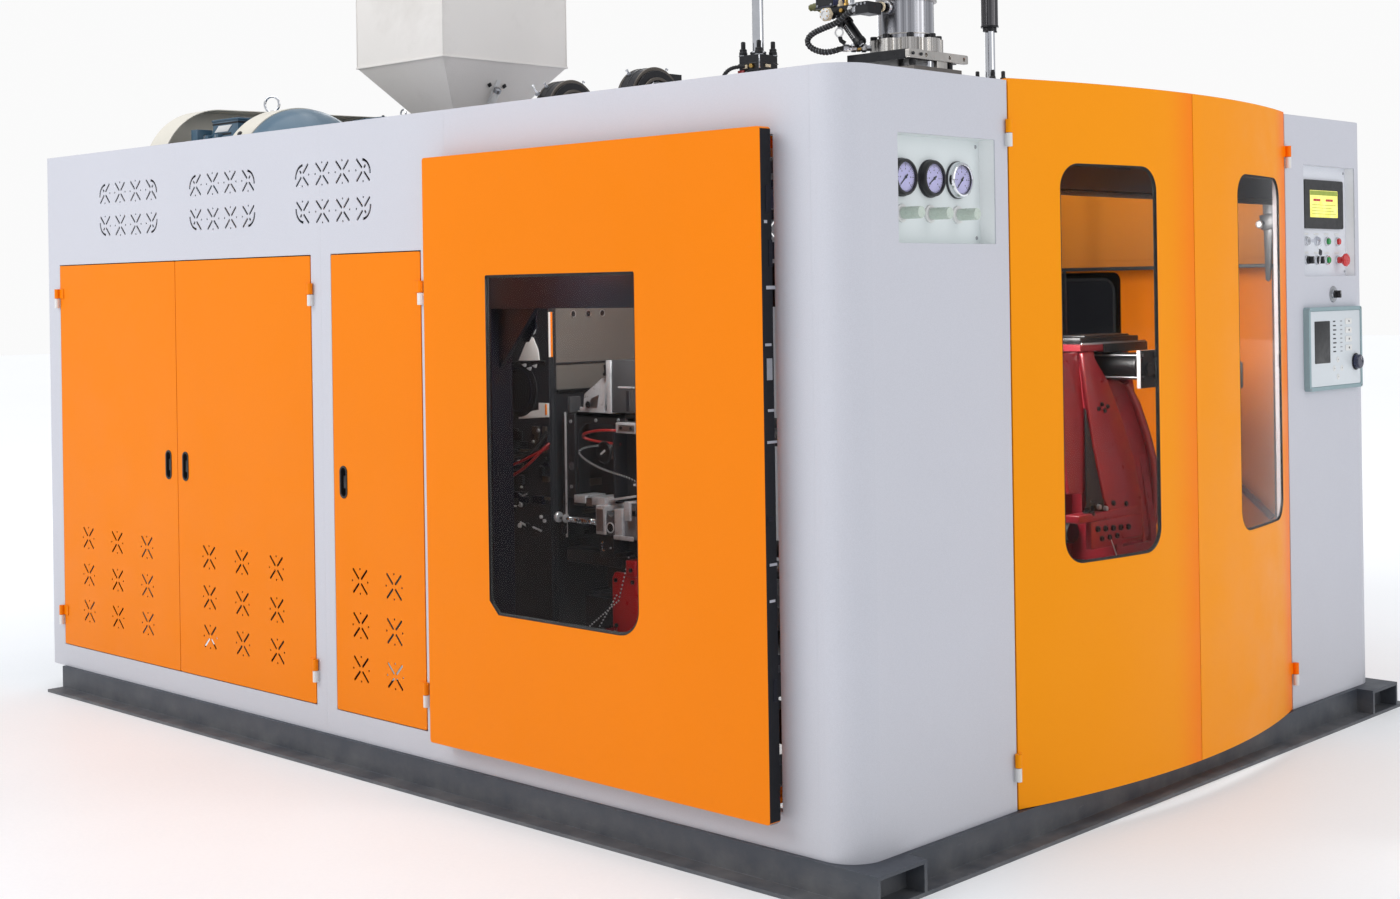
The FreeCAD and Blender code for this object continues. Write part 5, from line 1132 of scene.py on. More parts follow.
# ---- fittings round the valve and the head
def head_group():
    b = Build("m_fitting", "m_steel", "m_brass", "m_white", "m_olive", "m_beige", "m_galv", "m_black_plastic")
    y = -152.0
    # valve body: cover plate, screws and a plug with its cable gland
    b.box(744, y - 27.5, 2158, 808, y - 26, 2226, 0.5, 1, 0)
    b.box(738, y - 28, 2152, 814, y + 28, 2156, 1.2, 2, 7)
    for dx in (-26, 26):
        for z in (2160, 2224):
            b.screw((776 + dx, y - 27.5, z), (0, -1, 0), 3.2, 3.0, 6)
    b.lathe((744, y, 2164), (-1, 0, 0), [(0, 0), (15, 0), (16, 2), (16, 12), (12, 14), (12, 30), (9.5, 33), (9.5, 44),
                                         (6, 48), (0, 48)], 20, 4)
    b.hexa((742, y, 2164), (-1, 0, 0), 13, 7, 7)
    b.hexa((706, y, 2164), (-1, 0, 0), 10.5, 8, 4)
    # big light connector below the block
    b.hexa((802, -196, 2128), (0, -1, 0), 21, 12, 5)
    b.lathe((802, -207, 2128), (0, -1, 0), [(0, 0), (16, 0), (17, 1.5), (17, 6), (14, 8), (9, 8.4), (8, 5), (0, 5)], 28, 3)
    for k in range(6):
        a = math.radians(60 * k + 30)
        b.disc((802 + 14 * math.cos(a), -213, 2128 + 14 * math.sin(a)), (0, -1, 0), 2.4, 2.4, 0.4, 10, 2)
    # elbow and unions on the manifold
    for x, z, r, m in ((824, 2150, 9, 5), (846, 2151, 8, 2), (868, 2149, 9, 6)):
        b.hexa((x, y - 12, z), "Z", r, 9, m)
        b.lathe((x, y - 12, z + 8), "Z", [(0, 0), (r * 0.7, 0), (r * 0.72, 10), (r * 0.5, 13), (0, 13)], 20, m)
    b.hexa((870, y - 22, 2140), (0, -1, 0), 9, 7, 3)
    b.hexa((838, y - 22, 2138), (0, -1, 0), 7, 8, 2)
    b.lathe((936, -96, 2144), (0.07, 1, 0), [(13, 0), (18, 0), (19, 2), (19, 9), (15, 11), (13, 11)], 24, 1)
    b.lathe((934, -118, 2144), (0.07, 1, 0), [(11.2, 0), (14, 0), (14.5, 1), (14.5, 8), (11.2, 9)], 24, 5)
    for k in range(3):
        b.screw((912 + 14 * k, -194, 2146), (0, -1, 0), 3.4, 3.0, 6)
    b.hexa((904, -185, 2132), (-1, 0, 0), 12.5, 12, 1)
    # filter bowl: ring, scale marks and end nut
    fd = Vector((80, 0, -100)).normalized()
    o = Vector((806, -140, 2132))
    side = Vector((0, -1, 0))
    across = fd.cross(side).normalized()
    b.ring(o + fd * 26, fd, 20.5, 17.2, 12, 1.5, 32, 0)
    b.ring(o + fd * 104, fd, 19.0, 17.2, 10, 1.5, 32, 7)
    for k in range(9):
        c = o + fd * (46 + 6.0 * k) + side * 17.1
        w = 5.0 if k % 2 else 8.0
        b.tube([c - across * w * 0.2, c + across * w], 0.7, 5, 3)
    c0, c1 = o + fd * 44 + side * 17.2, o + fd * 98 + side * 17.2
    b.tube([c0 - across * 3, c1 - across * 3], 0.9, 5, 3)
    b.hexa(o + fd * 118, fd, 9, 7, 1)
    # vent ring and tap in front of the filter
    b.lathe((823, -165, 2092), "Z", [(0, 0), (8.5, 0), (8.5, 22), (6, 24), (0, 24)], 20, 7)
    pts = [Vector((823 + 12 * math.cos(2 * math.pi * i / 24), -171 + 3 * math.cos(2 * math.pi * i / 24),
                   2076 + 12 * math.sin(2 * math.pi * i / 24))) for i in range(25)]
    b.tube(pts, 2.6, 8, 3, cap=False)
    b.tube([(823, -168, 2064), (826, -166, 2052), (836, -160, 2044)], 6.5, 12, 0)
    b.done("valve_fittings", "root")
    b = Build("m_steel", "m_brass")
    hu = Vector((116, 150, 0)).normalized()
    he = Vector((936, 0, 2033)) - hu * 148
    b.lathe(he - hu * 42, hu, [(8.3, 0), (11, 0), (11.4, 2), (11.4, 16), (9.6, 18), (9.6, 26), (8.3, 26)], 24, 0)
    b.hexa(he - hu * 17, hu, 12.5, 15, 0)
    b.hexa(he - hu * 0.5, hu, 11.5, 12, 1)
    b.hexa(he + hu * 14, hu, 13, 14, 0)
    b.done("hose_fitting", "root")
    b = Build("m_fitting", "m_chrome", "m_bar_steel")
    for i in range(8):
        t = math.radians(45 * i)
        b.screw((936 + 95 * math.cos(t), 95 * math.sin(t), 2053), "Z", 10.5, 13.5, 0)
    for dy, z in ((-22, 1940),):
        b.lathe((1034, dy, 1905), "Z", [(0, 0), (9, 0), (9, 78), (0, 78)], 24, 1)
    b.box(1028, 10, 1940, 1040, 60, 1986.5, 1.0, 2, 2)
    for y in (-108, -70):
        b.screw((1042, y, 2000), "X", 5.0, 4.0, 0)
    b.ring((936, 0, 2164), "Z", 91.5, 82.6, 5, 0.8, 64, 2)
    b.ring((936, 0, 2066), "Z", 84.0, 82.3, 3, 0.4, 64, 2)
    b.done("head_screws", "root")
    # scraper nuts on the far blow rod, and collars at the sleeves
    for name, y in (("near", -STATION_Y), ("far", STATION_Y)):
        b = Build("m_fitting", "m_chrome")
        b.ring((PIN_X, y, 2140), "Z", 22, 16.3, 12, 1.0, 32, 0)
        b.ring((PIN_X, y, 2152), "Z", 28.4, 27.2, 6, 0.4, 32, 0)
        for k in range(3):
            a = math.radians(30 + 120 * k)
            b.screw((PIN_X + 20 * math.cos(a), y + 20 * math.sin(a), 2136), "Z", 3.4, 5, 0)
        b.done(name + "_rod_collar", name + "_blow_rod")
        b = Build("m_fitting", "m_steel", "m_beige", "m_galv", "m_brass", "m_inner_red")
        for dx in (-29, 29):
            for dy in (-29, 29):
                b.hexa((PIN_X + dx, y + dy, 1975), "Z", 12.0, 11, 0)
                b.hexa((PIN_X + dx, y + dy, 1986.5), "Z", 10.5, 7, 0)
                b.disc((PIN_X + dx, y + dy, 1993), "Z", 6.4, 20, 1.0, 16, 0)
                b.ring((PIN_X + dx, y + dy, 1973.6), "Z", 13.5, 9.5, 1.6, 0.3, 24, 3)
        b.box(PIN_X - 39.5, y - 39.5, 1950, PIN_X + 39.5, y + 39.5, 1953, 0.8, 2, 0)
        b.box(PIN_X + 36.5, y - 39.5, 1936, PIN_X + 39.2, y - 36.5, 1973, 0.6, 2, 1)
        b.ring((PIN_X, y, 1981), "Z", 23, 16.4, 5, 1.0, 32, 1)
        b.box(PIN_X - 20, y - 44, 1938, PIN_X - 4, y - 38, 1948, 1.0, 2, 2)
        b.box(PIN_X + 38, y - 16, 1940, PIN_X + 43, y + 4, 1948, 1.0, 2, 2)
        b.hexa((PIN_X + 12, y - 38, 1944), (0, -1, 0), 7, 8, 4)
        b.box(PIN_X - 36, y - 46, 1922, PIN_X - 14, y - 40, 1934, 1.0, 2, 5)
        b.done(name + "_cylinder_fittings", "root")


head_group()
wire("near_cylinder_hose", "root", [(835, -592, 1944), (822, -606, 1944), (800, -622, 1938), (776, -622, 1918),
                                    (770, -604, 1894), (790, -580, 1874), (818, -562, 1864)], 10.0, "m_rubber",
     pieces=(lambda line: wrap_along("near_cylinder_hose_wrap", "root", line, 5.2, 7.0, 1.1, "m_black_plastic"),))


# ---- motor group
def motor_group():
    b = Build("m_white", "m_mark", "m_gear", "m_fitting", "m_chrome", "m_cream", "m_galv")
    # terminal box: lid, light plates and dark seam
    b.box(-1520, -809, 1949, -1352, -591, 1957, 2.5, 2, 2)
    b.box(-1518, -806.5, 1938, -1354, -593, 1944, 0.6, 1, 3)
    b.prism([(-1505, 1912), (-1420, 1912), (-1392, 1934), (-1477, 1934)], "XZ", -807.4, -805.2, 0.4, mi=0)
    b.box(-1500, -807, 1899, -1400, -804, 1908, 0.6, 1, 1)
    b.prism([(-1490, -780), (-1400, -780), (-1400, -660), (-1490, -660)], "XY", 1957, 1958.6, 0.4, mi=0)
    # light plate in a black frame, left of the box
    b.box(-1606, -826, 1878, -1530, -822, 1881, 0.6, 1, 3)
    b.box(-1606, -826, 1904, -1530, -822, 1907, 0.6, 1, 3)
    b.box(-1606, -826, 1878, -1603, -822, 1907, 0.6, 1, 3)
    b.box(-1533, -826, 1878, -1530, -822, 1907, 0.6, 1, 3)
    b.box(-1603, -824.5, 1881, -1533, -823, 1904, 0.2, 1, 0)
    b.box(-1604, -823, 1790, -1532, -800, 1880, 1.0, 2, 3)
    # two lugs with bright bolts
    for x in (-1528, -1462):
        b.box(x - 12, -828, 1840, x + 12, -800, 1904, 2.0, 2, 2)
        b.box(x - 4, -830, 1850, x - 1, -827, 1902, 0.4, 1, 4)
    b.done("motor_box_fittings", "root")
    b = Build("m_fitting", "m_galv")
    a = math.radians(140)
    r = 266.0
    for t in (140, 36):
        a = math.radians(t)
        c = (-1190, -700 + r * math.cos(a), 1711 + r * math.sin(a))
        b.hexa(c, (0, math.cos(a), math.sin(a)), 9, 6, 0)
    b.done("band_bolts", "root")
    # gearbox: breather ring, inspection cover, screws
    b = Build("m_chrome", "m_gear", "m_fitting", "m_brass")
    pts = [Vector((-1528 + 16 * math.cos(2 * math.pi * i / 24), 40, 2030 + 16 * math.sin(2 * math.pi * i / 24)))
           for i in range(25)]
    b.tube(pts, 3.4, 8, 0, cap=False)
    b.hexa((-1528, 40, 2010), "Z", 11, 8, 0)
    b.box(-1560, -140, 1996, -1420, -20, 2002, 2.0, 2, 1)
    for x in (-1548, -1432):
        for y in (-128, -32):
            b.screw((x, y, 2002), "Z", 5, 5, 2)
    b.lathe((-1470, 90, 1996), "Z", [(0, 0), (12, 0), (12, 10), (18, 12), (18, 22), (14, 26), (0, 27)], 24, 3)
    b.done("gearbox_fittings", "root")
    # crossing lugs behind the hood
    b = Build("m_white", "m_inner_red", "m_fitting")
    for k in range(5):
        m = "m_white"
        b.box(-1330 + 13 * k, -372, 1925 + 3 * (k % 2), -1322 + 13 * k, -360, 1946 + 4 * (k % 2), 1.0, 2, 0 if k % 2 else 1)
    b.box(-1345, -362, 1700, -1260, -350, 1934, 1.5, 2, 2)
    b.tube([(-1205, -505, 1880), (-1210, -480, 1922), (-1222, -440, 1944), (-1250, -366, 1940)], 2.5, 8, 2)
    b.done("hood_lugs", "root")


motor_group()
# ---- hopper and blowers
def hopper_group():
    b = Build("m_white", "m_galv", "m_fitting", "m_hopper")
    # leaning tube with its cap, held on the slanted side
    n = Vector((191, 0, -146)).normalized()
    p0, p1 = Vector((-985, 4, 1990)), Vector((-930, -2, 2068))
    d = (p1 - p0).normalized()
    p0, p1 = p0 + n * 13, p1 + n * 13
    b.tube([p0 - d * 30, p1], 11, 20, 0)
    b.tube([p1 - d * 2, p1 + d * 12, p1 + d * 16], [14, 14, 9], 20, 1)
    for y in (-33, 36):
        c = Vector((-1012 + (2086 - 1973) * 146 / 191, y, 2086))
        b.box(-7, -7, 0, 7, 7, 7, 1.2, 2, 2, Matrix.Translation(c) @ n.to_track_quat("Z", "Y").to_matrix().to_4x4()
              @ Matrix.Rotation(math.radians(45), 4, "Z"))
        b.ring(c, n, 12, 6, 1.2, 0.3, 20, 3)
    b.box(-50, -10, 0, 50, 10, 2.0, 0.6, 1, 0, Matrix.Translation(Vector((-1012 + (2064 - 1973) * 146 / 191, 2, 2064)))
          @ n.to_track_quat("Z", "Y").to_matrix().to_4x4() @ Matrix.Rotation(math.radians(90), 4, "Z"))
    b.done("hopper_clamp", "root")
    # folded seams of the bin, upright at the corners and round the rim
    b = Build("m_hopper", "m_galv")
    for sx in (-1, 1):
        for sy in (-1, 1):
            x, y = -1116 + sx * 250, sy * 290
            b.box(x - 2.2, y - 2.2, 2166, x + 2.2, y + 2.2, 2654, 1.2, 2, 0)
    for s in (-1, 1):
        b.box(-1368, s * 292.5 - 1.6, 2161, -864, s * 292.5 + 1.6, 2169, 1.0, 2, 0)
        b.box(-1116 + s * 252.5 - 1.6, -294, 2161, -1116 + s * 252.5 + 1.6, 294, 2169, 1.0, 2, 0)
    b.done("hopper_seams", "root")
    steel("m_rim", srgb(112, 106, 100), rough=0.4, streak=(30.0, 1.0, 1.0), tint=srgb(60, 56, 52), tint_amount=0.6, edge=0.5)
    for name, x, z in (("first", -334.0, 1930.0), ("second", 62.0, 1936.0)):
        b = Build("m_rim", "m_chrome", "m_blower", "m_galv")
        c = (x, -160, z)
        b.ring((x - 10.5, -160, z), "X", 111.5, 99, 5, 1.6, 56, 0)
        b.ring((x - 74, -160, z), "X", 111.8, 109.5, 7, 1.0, 56, 0)
        b.ring((x - 42, -160, z), "X", 111.4, 109.6, 3, 0.6, 56, 2)
        b.ring((x + 0.2, -160, z), "X", 78, 68, 4, 1.2, 56, 0)
        for r in (62, 54, 47, 40, 33, 26):
            b.ring((x + 1.0, -160, z), "X", r + 1.0, r - 1.0, 2.4, 0.6, 48, 1)
        b.lathe((x + 1.0, -160, z), "X", [(0, 5), (14, 4), (17, 1), (17, 0), (0, 0)], 28, 3)
        for k in range(8):
            a = math.radians(45 * k + 20)
            b.tube([(x + 2.4, -160 + 17 * math.cos(a), z + 17 * math.sin(a)),
                    (x + 2.4, -160 + 66 * math.cos(a), z + 66 * math.sin(a))], 1.0, 6, 1)
            b.screw((x - 5.5, -160 + 89 * math.cos(a), z + 89 * math.sin(a)), "X", 4.0, 4.0, 3)
        b.done(name + "_blower_grille", "root")
        b = Build("m_chrome", "m_brass", "m_galv", "m_blower")
        for dx, a in ((-60, 128), (-22, 60)):
            t = math.radians(a)
            o = Vector((x + dx, -160 + 110 * math.cos(t), z + 110 * math.sin(t)))
            d = (0, math.cos(t), math.sin(t))
            b.hexa(o, d, 7, 7, 2)
            b.lathe(o, d, [(0, 6), (3.4, 6), (3.4, 15), (5.2, 16), (5.2, 19), (0, 20)], 14, 0)
        b.done(name + "_blower_bolts", "root")
    b = Build("m_chrome", "m_galv")
    b.hexa((-400, -262, 1990), (0, -0.6, 0.8), 9, 8, 1)
    b.tube([(-400, -266, 1996), (-402, -274, 2006), (-408, -276, 2016), (-416, -270, 2020)], 3.0, 10, 0)
    b.sphere((-416, -270, 2020), 5.0, 0)
    b.done("blower_hook", "root")


hopper_group()

# ---- fittings on the near clamp station, seen through the sliding window
paint("m_silver", srgb(214, 216, 220), rough=0.34, metal=0.45, patch=0.16, patch_scale=9.0, grain=0.12, grain_scale=240,
      peel=0.3, peel_scale=140, edge=0.6, edge_color=srgb(246, 246, 246), stain=srgb(120, 122, 128), stain_amount=0.45,
      stain_scale=22.0)
paint("m_grey_plate", srgb(88, 89, 92), rough=0.36, metal=0.4, patch=0.2, patch_scale=4.0, grain=0.08, peel=0.2, edge=0.6,
      edge_color=srgb(190, 190, 194))
paint("m_bright_red", srgb(196, 26, 32), rough=0.34, patch=0.10, patch_scale=7.0, grain=0.06, peel=0.35, peel_scale=90,
      edge=0.5, edge_color=srgb(236, 120, 110), edge_r=0.0025, coat=0.25)


def near_station():
    b = Build("m_cabinet", "m_silver", "m_grey_plate", "m_black_cast", "m_fitting", "m_galv", "m_bright_red", "m_chrome")
    y = -742.0
    # upright plate with its bright edge
    b.box(289, -798, 632, 305, y, 986, 0.8, 2, 0)
    b.box(304, -801, 632, 312, y, 988, 0.8, 2, 0)
    b.box(304.5, -802.5, 630, 311.5, -800, 988, 0.5, 1, 1)
    b.box(312, -799, 744, 344, y, 984, 0.8, 2, 3)
    b.disc((330, -799, 834), (0, -1, 0), 11, 1.0, 0.4, 24, 2)
    # wide plate with a rounded cut-out, fixed to the clamp plate
    out = [(344, 990), (344, 744), (352, 744), (352, 900)]
    for k in range(7):
        a = math.pi - math.pi / 2 * k / 6
        out.append((392 + 40 * math.cos(a), 918 + 40 * math.sin(a)))
    out += [(546, 958), (546, 990)]
    b.prism(out, "XZ", -792, -782, 0.8, mi=3)
    b.box(344, -792, 976, 546, y, 990, 1.0, 2, 3)
    b.box(492, -790, 744, 500, y, 976, 0.8, 2, 0)
    b.box(312, -784, 738, 500, y, 746, 0.8, 2, 3)
    b.box(318, -800, 987, 330, -760, 1032, 1.0, 2, 2)
    for x, z in ((330, 962), (330, 776), (428, 968), (520, 972)):
        b.screw((x, -799 if x < 344 else -792, z), (0, -1, 0), 5, 4, 5)
    # bracket: triangle, foot plate, the upright plate and the grey box beside it
    b.prism([(353, 992), (452, 992), (470, 1084), (448, 1088), (372, 1040), (368, 1000), (353, 1004)], "XZ", -786, -778, 1.0,
            mi=1)
    b.prism([(392, 1004), (428, 1004), (436, 1040), (404, 1030)], "XZ", -788.5, -786, 0.8, mi=5)
    b.box(344, -786, 988, 500, y, 993, 0.8, 2, 1)
    b.box(482, -803, 990, 501, y, 1139, 1.2, 2, 1)
    b.box(501, -800, 994, 600, y, 1140, 1.0, 2, 2)
    b.box(528, -802, 1062, 600, -800, 1067, 0.4, 1, 1)
    b.box(560, -801, 998, 572, -799.5, 1056, 0.4, 1, 0)
    b.lathe((474, -790, 1096), "Z", [(0, 0), (12, 0), (13, 4), (9, 14), (11, 30), (0, 34)], 20, 4)
    b.lathe((400, -796, 1012), (0, -1, 0), [(0, 0), (9, 0), (10, 2), (7, 4), (0, 4)], 20, 4)
    # block at the right with its bolts
    b.box(527, -812, 938, 606, y, 967, 2.0, 2, 1)
    b.box(540, -814, 944, 604, -812, 962, 0.6, 1, 5)
    for x in (552, 592):
        b.screw((x, -814, 953), (0, -1, 0), 4.5, 4, 4)
    # round plug in the cut-out
    b.lathe((462, -792, 880), (0, -1, 0), [(0, 0), (30, 0), (32, 3), (28, 8), (10, 9), (0, 9)], 32, 4)
    b.prism([(452, 876), (470, 888), (474, 884), (456, 872)], "XZ", -802.4, -801, 0.3, mi=1)
    # stacked plates and the clamp blocks with their notches
    b.box(344, -806, 726, 494, y, 735, 1.0, 2, 2)
    b.box(363, -822, 735, 410, y, 757, 1.5, 2, 1)
    b.box(410, -820, 728, 440, y, 752, 1.5, 2, 5)
    b.box(438, -824, 734, 494, y, 756, 1.5, 2, 1)
    b.prism([(494, 752), (520, 756), (606, 770), (606, 764), (524, 750), (494, 747)], "XZ", -812, -780, 0.6, mi=1)
    b.box(465, -834, 655, 503, y, 735, 2.0, 3, 1)
    b.box(470, -836, 664, 497, -834, 726, 1.0, 2, 5)
    o = [(503, 655), (503, 700)]
    for k in range(9):
        a = math.pi + math.pi * k / 8
        o.append((521 + 15 * math.cos(a), 722 + 15 * math.sin(a)))
    o += [(540, 730), (540, 655)]
    b.prism(o, "XZ", -830, -790, 1.0, mi=2)
    b.disc((521, -830, 676), (0, -1, 0), 12, 2.0, 0.6, 24, 4)
    b.ring((521, -830, 676), (0, -1, 0), 15, 12, 3.0, 0.8, 28, 1)
    b.box(540, -834, 648, 572, y, 730, 2.0, 3, 1)
    b.box(572, -826, 648, 617, y, 730, 1.5, 2, 5)
    b.box(540, -838, 646, 617, -834, 658, 1.0, 2, 1)
    b.box(576, -832, 700, 600, y, 752, 2.0, 3, 1)
    b.box(600, -826, 712, 617, y, 748, 1.0, 2, 2)
    # spring on its rod
    pts = []
    for i in range(289):
        t = i / 288.0
        a = 2 * math.pi * 18 * t
        pts.append((328 + 134 * t, -810 + 8 * math.cos(a), 685 + 8 * math.sin(a)))
    b.tube(pts, 1.9, 6, 7)
    b.tube([(285, -810, 685), (470, -810, 685)], 4.0, 12, 2)
    b.lathe((290, -810, 687), (-1, 0, 0), [(0, 0), (12, 0), (15, 3), (15, 9), (11, 14), (0, 14)], 24, 1)
    b.lathe((312, -810, 685), "X", [(0, 0), (12, 0), (12, 6), (0, 6)], 20, 1)
    b.box(300, -814, 640, 310, y, 690, 1.0, 2, 0)
    ring = [(466 + 13 * math.cos(math.pi * i / 10), -802, 617 + 13 * math.sin(math.pi * i / 10)) for i in range(5, 17)]
    b.tube(ring, 3.0, 8, 7)
    b.box(444, -800, 586, 500, y, 650, 1.0, 2, 0)
    b.sphere((490, -802, 614), 3.0, 1)
    # dark parts below: carriers, casting and bolts
    b.box(300, -796, 560, 520, y, 600, 2.0, 2, 0)
    b.box(462, -790, 500, 540, y, 590, 2.0, 2, 3)
    b.prism([(490, 372), (590, 366), (590, 540), (568, 548), (500, 548), (490, 530)], "XZ", -800, y, 5.0, 3, mi=6)
    b.box(552, -806, 540, 590, y, 586, 4.0, 3, 6)
    for x, z in ((508, 526), (575, 526), (508, 400), (575, 560)):
        b.screw((x, -806 if z > 550 else -800, z), (0, -1, 0), 6, 5, 4)
    # dotted chain down to the foot
    for p0, p1 in (((563, 594), (520, 470)), ((520, 470), (392, 380)), ((512, 484), (428, 372))):
        n = int(math.hypot(p1[0] - p0[0], p1[1] - p0[1]) / 11)
        for k in range(n + 1):
            b.sphere((p0[0] + (p1[0] - p0[0]) * k / n, -803, p0[1] + (p1[1] - p0[1]) * k / n), 2.3, 1)
        b.tube([(p0[0], -802, p0[1]), (p1[0], -802, p1[1])], 0.8, 6, 0)
    b.box(380, -799, 366, 492, y, 470, 1.0, 2, 0)
    b.done("near_clamp_fittings", "near_carriage")


near_station()
BODY = "near_carriage"
wire("red_hose_right", BODY, [(500, -766, 902), (440, -790, 906), (388, -808, 918), (410, -826, 932), (460, -830, 942),
                              (510, -826, 946), (530, -812, 944), (534, -766, 944)], 8.0, "m_inner_red")
wire("beaded_cable", BODY, [(500, -764, 896), (440, -806, 900), (390, -826, 888), (404, -832, 868), (470, -836, 844),
                            (540, -836, 830), (592, -830, 820), (606, -812, 806), (584, -788, 794), (546, -762, 790)],
     5.0, "m_rubber", pieces=(lambda line: wrap_along("beaded_cable_rings", BODY, line, 2.6, 8.0, 0.8, "m_silver"),))


# ---- cabinet side, back sheet and what stands in front of it
def cabinet_side():
    NODES["electrical_box"].data.materials.clear()
    NODES["electrical_box"].data.materials.append(MATS["m_cabinet"])
    paint("m_back_sheet", srgb(104, 100, 96), rough=0.5, patch=0.10, patch_scale=2.2, grain=0.08, peel=0.2)
    b = Build("m_back_sheet", "m_mark", "m_orange", "m_white", "m_navy", "m_cabinet", "m_fitting", "m_galv", "m_barrel",
              "m_silver", "m_inner_red")
    # back sheet with three holes at its top edge
    b.box(252.2, -786, 1046, 255.0, -430, 1396, 0.6, 1, 0)
    for y in (-716, -656, -600):
        b.disc((255.0, y, 1268), "X", 8.5, 0.6, 0.1, 24, 1)
        b.ring((255.0, y, 1268), "X", 10.5, 8.5, 0.9, 0.2, 24, 7)
    b.box(255, -786, 1122, 259, -430, 1128, 1.0, 1, 5)
    b.box(255, -786, 1040, 262, -430, 1050, 1.0, 1, 6)
    b.box(252.2, -798, 1046, 257, -786, 1396, 0.8, 1, 5)
    b.box(252.2, -812, 1145, 256, -806, 1275, 0.5, 1, 3)
    b.box(252.2, -805.5, 1145, 256, -798, 1275, 0.5, 1, 2)
    # dark fittings over the lower part
    b.box(252.2, -790, 190, 256, -430, 1040, 1.0, 1, 5)
    rr = random.Random(5)
    for k in range(24):
        yy, zz = -780 + rr.random() * 320, 420 + rr.random() * 560
        w, h = 12 + rr.random() * 46, 8 + rr.random() * 40
        b.box(256, yy, zz, 259 + rr.random() * 3, yy + w, zz + h, 0.8, 1, rr.choice((5, 6, 6, 5, 8, 6)))
    # wall in front: frame members, white pieces painted as light showing through gaps, and small fittings
    y = -806.0
    b.box(-120, y - 3, 190, 250, y + 5, 1410, 1.0, 1, 5)
    b.prism([(120, 1133), (212, 1134), (206, 1166), (186, 1200), (171, 1206), (150, 1180)], "XZ", y - 6, y - 3, 0.5, mi=3)
    b.prism([(117, 962), (257 - 8, 972), (257 - 8, 1012), (206, 1012), (206, 992), (180, 988), (166, 984), (117, 978)], "XZ",
            y - 6, y - 3, 0.5, mi=3)
    b.box(236, y - 8, 978, 242, y - 3, 1010, 0.6, 1, 2)
    b.tube([(96, y - 8, 1126), (240, y - 8, 1132)], 5, 10, 6)
    for x, z in ((150, 1122), (172, 1112), (196, 1120)):
        b.prism([(x - 9, z), (x + 10, z + 4), (x + 6, z - 7)], "XZ", y - 14, y - 8, 0.5, mi=9)
    b.sphere((20, y - 6, 1266), 7, 9)
    b.sphere((188, y - 6, 1226), 9, 9, 1.8)
    # big dark round housing with a navy rim
    b.lathe((120, y - 3, 1048), (0, -1, 0), [(0, 0), (78, 0), (80, 3), (74, 8), (60, 10), (0, 10)], 40, 6)
    b.ring((120, y - 13, 1048), (0, -1, 0), 66, 60, 2.0, 0.6, 48, 4)
    # grey posts, clips and small parts under it
    b.box(190, y - 10, 868, 206, y - 3, 944, 1.0, 2, 8)
    b.box(224, y - 10, 868, 240, y - 3, 944, 1.0, 2, 8)
    b.box(206, y - 6, 896, 224, y - 3, 910, 1.0, 2, 6)
    for k in range(34):
        xx, zz = -60 + rr.random() * 290, 640 + rr.random() * 300
        w, h = 8 + rr.random() * 36, 5 + rr.random() * 26
        b.box(xx, y - 6 - rr.random() * 10, zz, min(249, xx + w), y - 3, zz + h, 1.0, 1, rr.choice((5, 6, 4, 6, 5, 8)))
    for k in range(22):
        xx, zz = -40 + rr.random() * 280, 640 + rr.random() * 300
        b.hexa((xx, y - 8, zz), (0, -1, 0), 3 + rr.random() * 5, 6, rr.choice((6, 7, 9)))
    pts = [(-20 + 170 * t / 20, y - 9, 742 + 3 * math.sin(t * 1.3)) for t in range(21)]
    for p in pts:
        b.sphere(p, 3.0, 7)
    b.tube([(0, y - 8, 716), (8, y - 10, 708), (110, y - 10, 706), (124, y - 10, 712), (122, y - 10, 720)], 2.4, 8, 9)
    b.tube([(120, y - 8, 660), (150, y - 10, 652)], 3.0, 8, 9)
    b.tube([(176, y - 8, 650), (214, y - 10, 642)], 3.0, 8, 9)
    b.disc((52, y - 4, 668), (0, -1, 0), 9, 3, 0.8, 20, 7)
    b.disc((52, y - 4, 596), (0, -1, 0), 9, 3, 0.8, 20, 7)
    b.done("cabinet_fittings", "root")
    # navy gusset and beam cover at the near side
    b = Build("m_navy", "m_fitting", "m_cabinet", "m_galv")
    y0 = -1150.0
    b.prism([(391, 1120), (436, 1110), (524, 1286), (476, 1289)], "XZ", y0, y0 + 22, 1.5, mi=0)
    b.prism([(462, 1289), (560, 1289), (556, 1240), (524, 1200), (506, 1200)], "XZ", y0 + 24, y0 + 30, 1.0, mi=0)
    for x, z in ((430, 1150), (496, 1262), (462, 1206)):
        b.screw((x, y0, z), (0, -1, 0), 6, 5, 2)
    b.done("near_brace", "root")


cabinet_side()
wire("red_hose_left", "root", [(30, -816, 754), (44, -840, 766), (100, -848, 790), (160, -848, 812), (214, -846, 846),
                               (244, -832, 880), (250, -812, 896)], 9.0, "m_inner_red")
wire("red_hose_left_low", "root", [(24, -816, 812), (60, -842, 816), (110, -846, 826), (160, -846, 840), (210, -842, 862),
                                   (246, -812, 884)], 8.0, "m_inner_red")
wire("black_hose_left", "root", [(10, -816, 900), (50, -846, 880), (110, -850, 850), (170, -846, 856), (220, -830, 880),
                                 (244, -812, 930)], 16.0, "m_rubber")


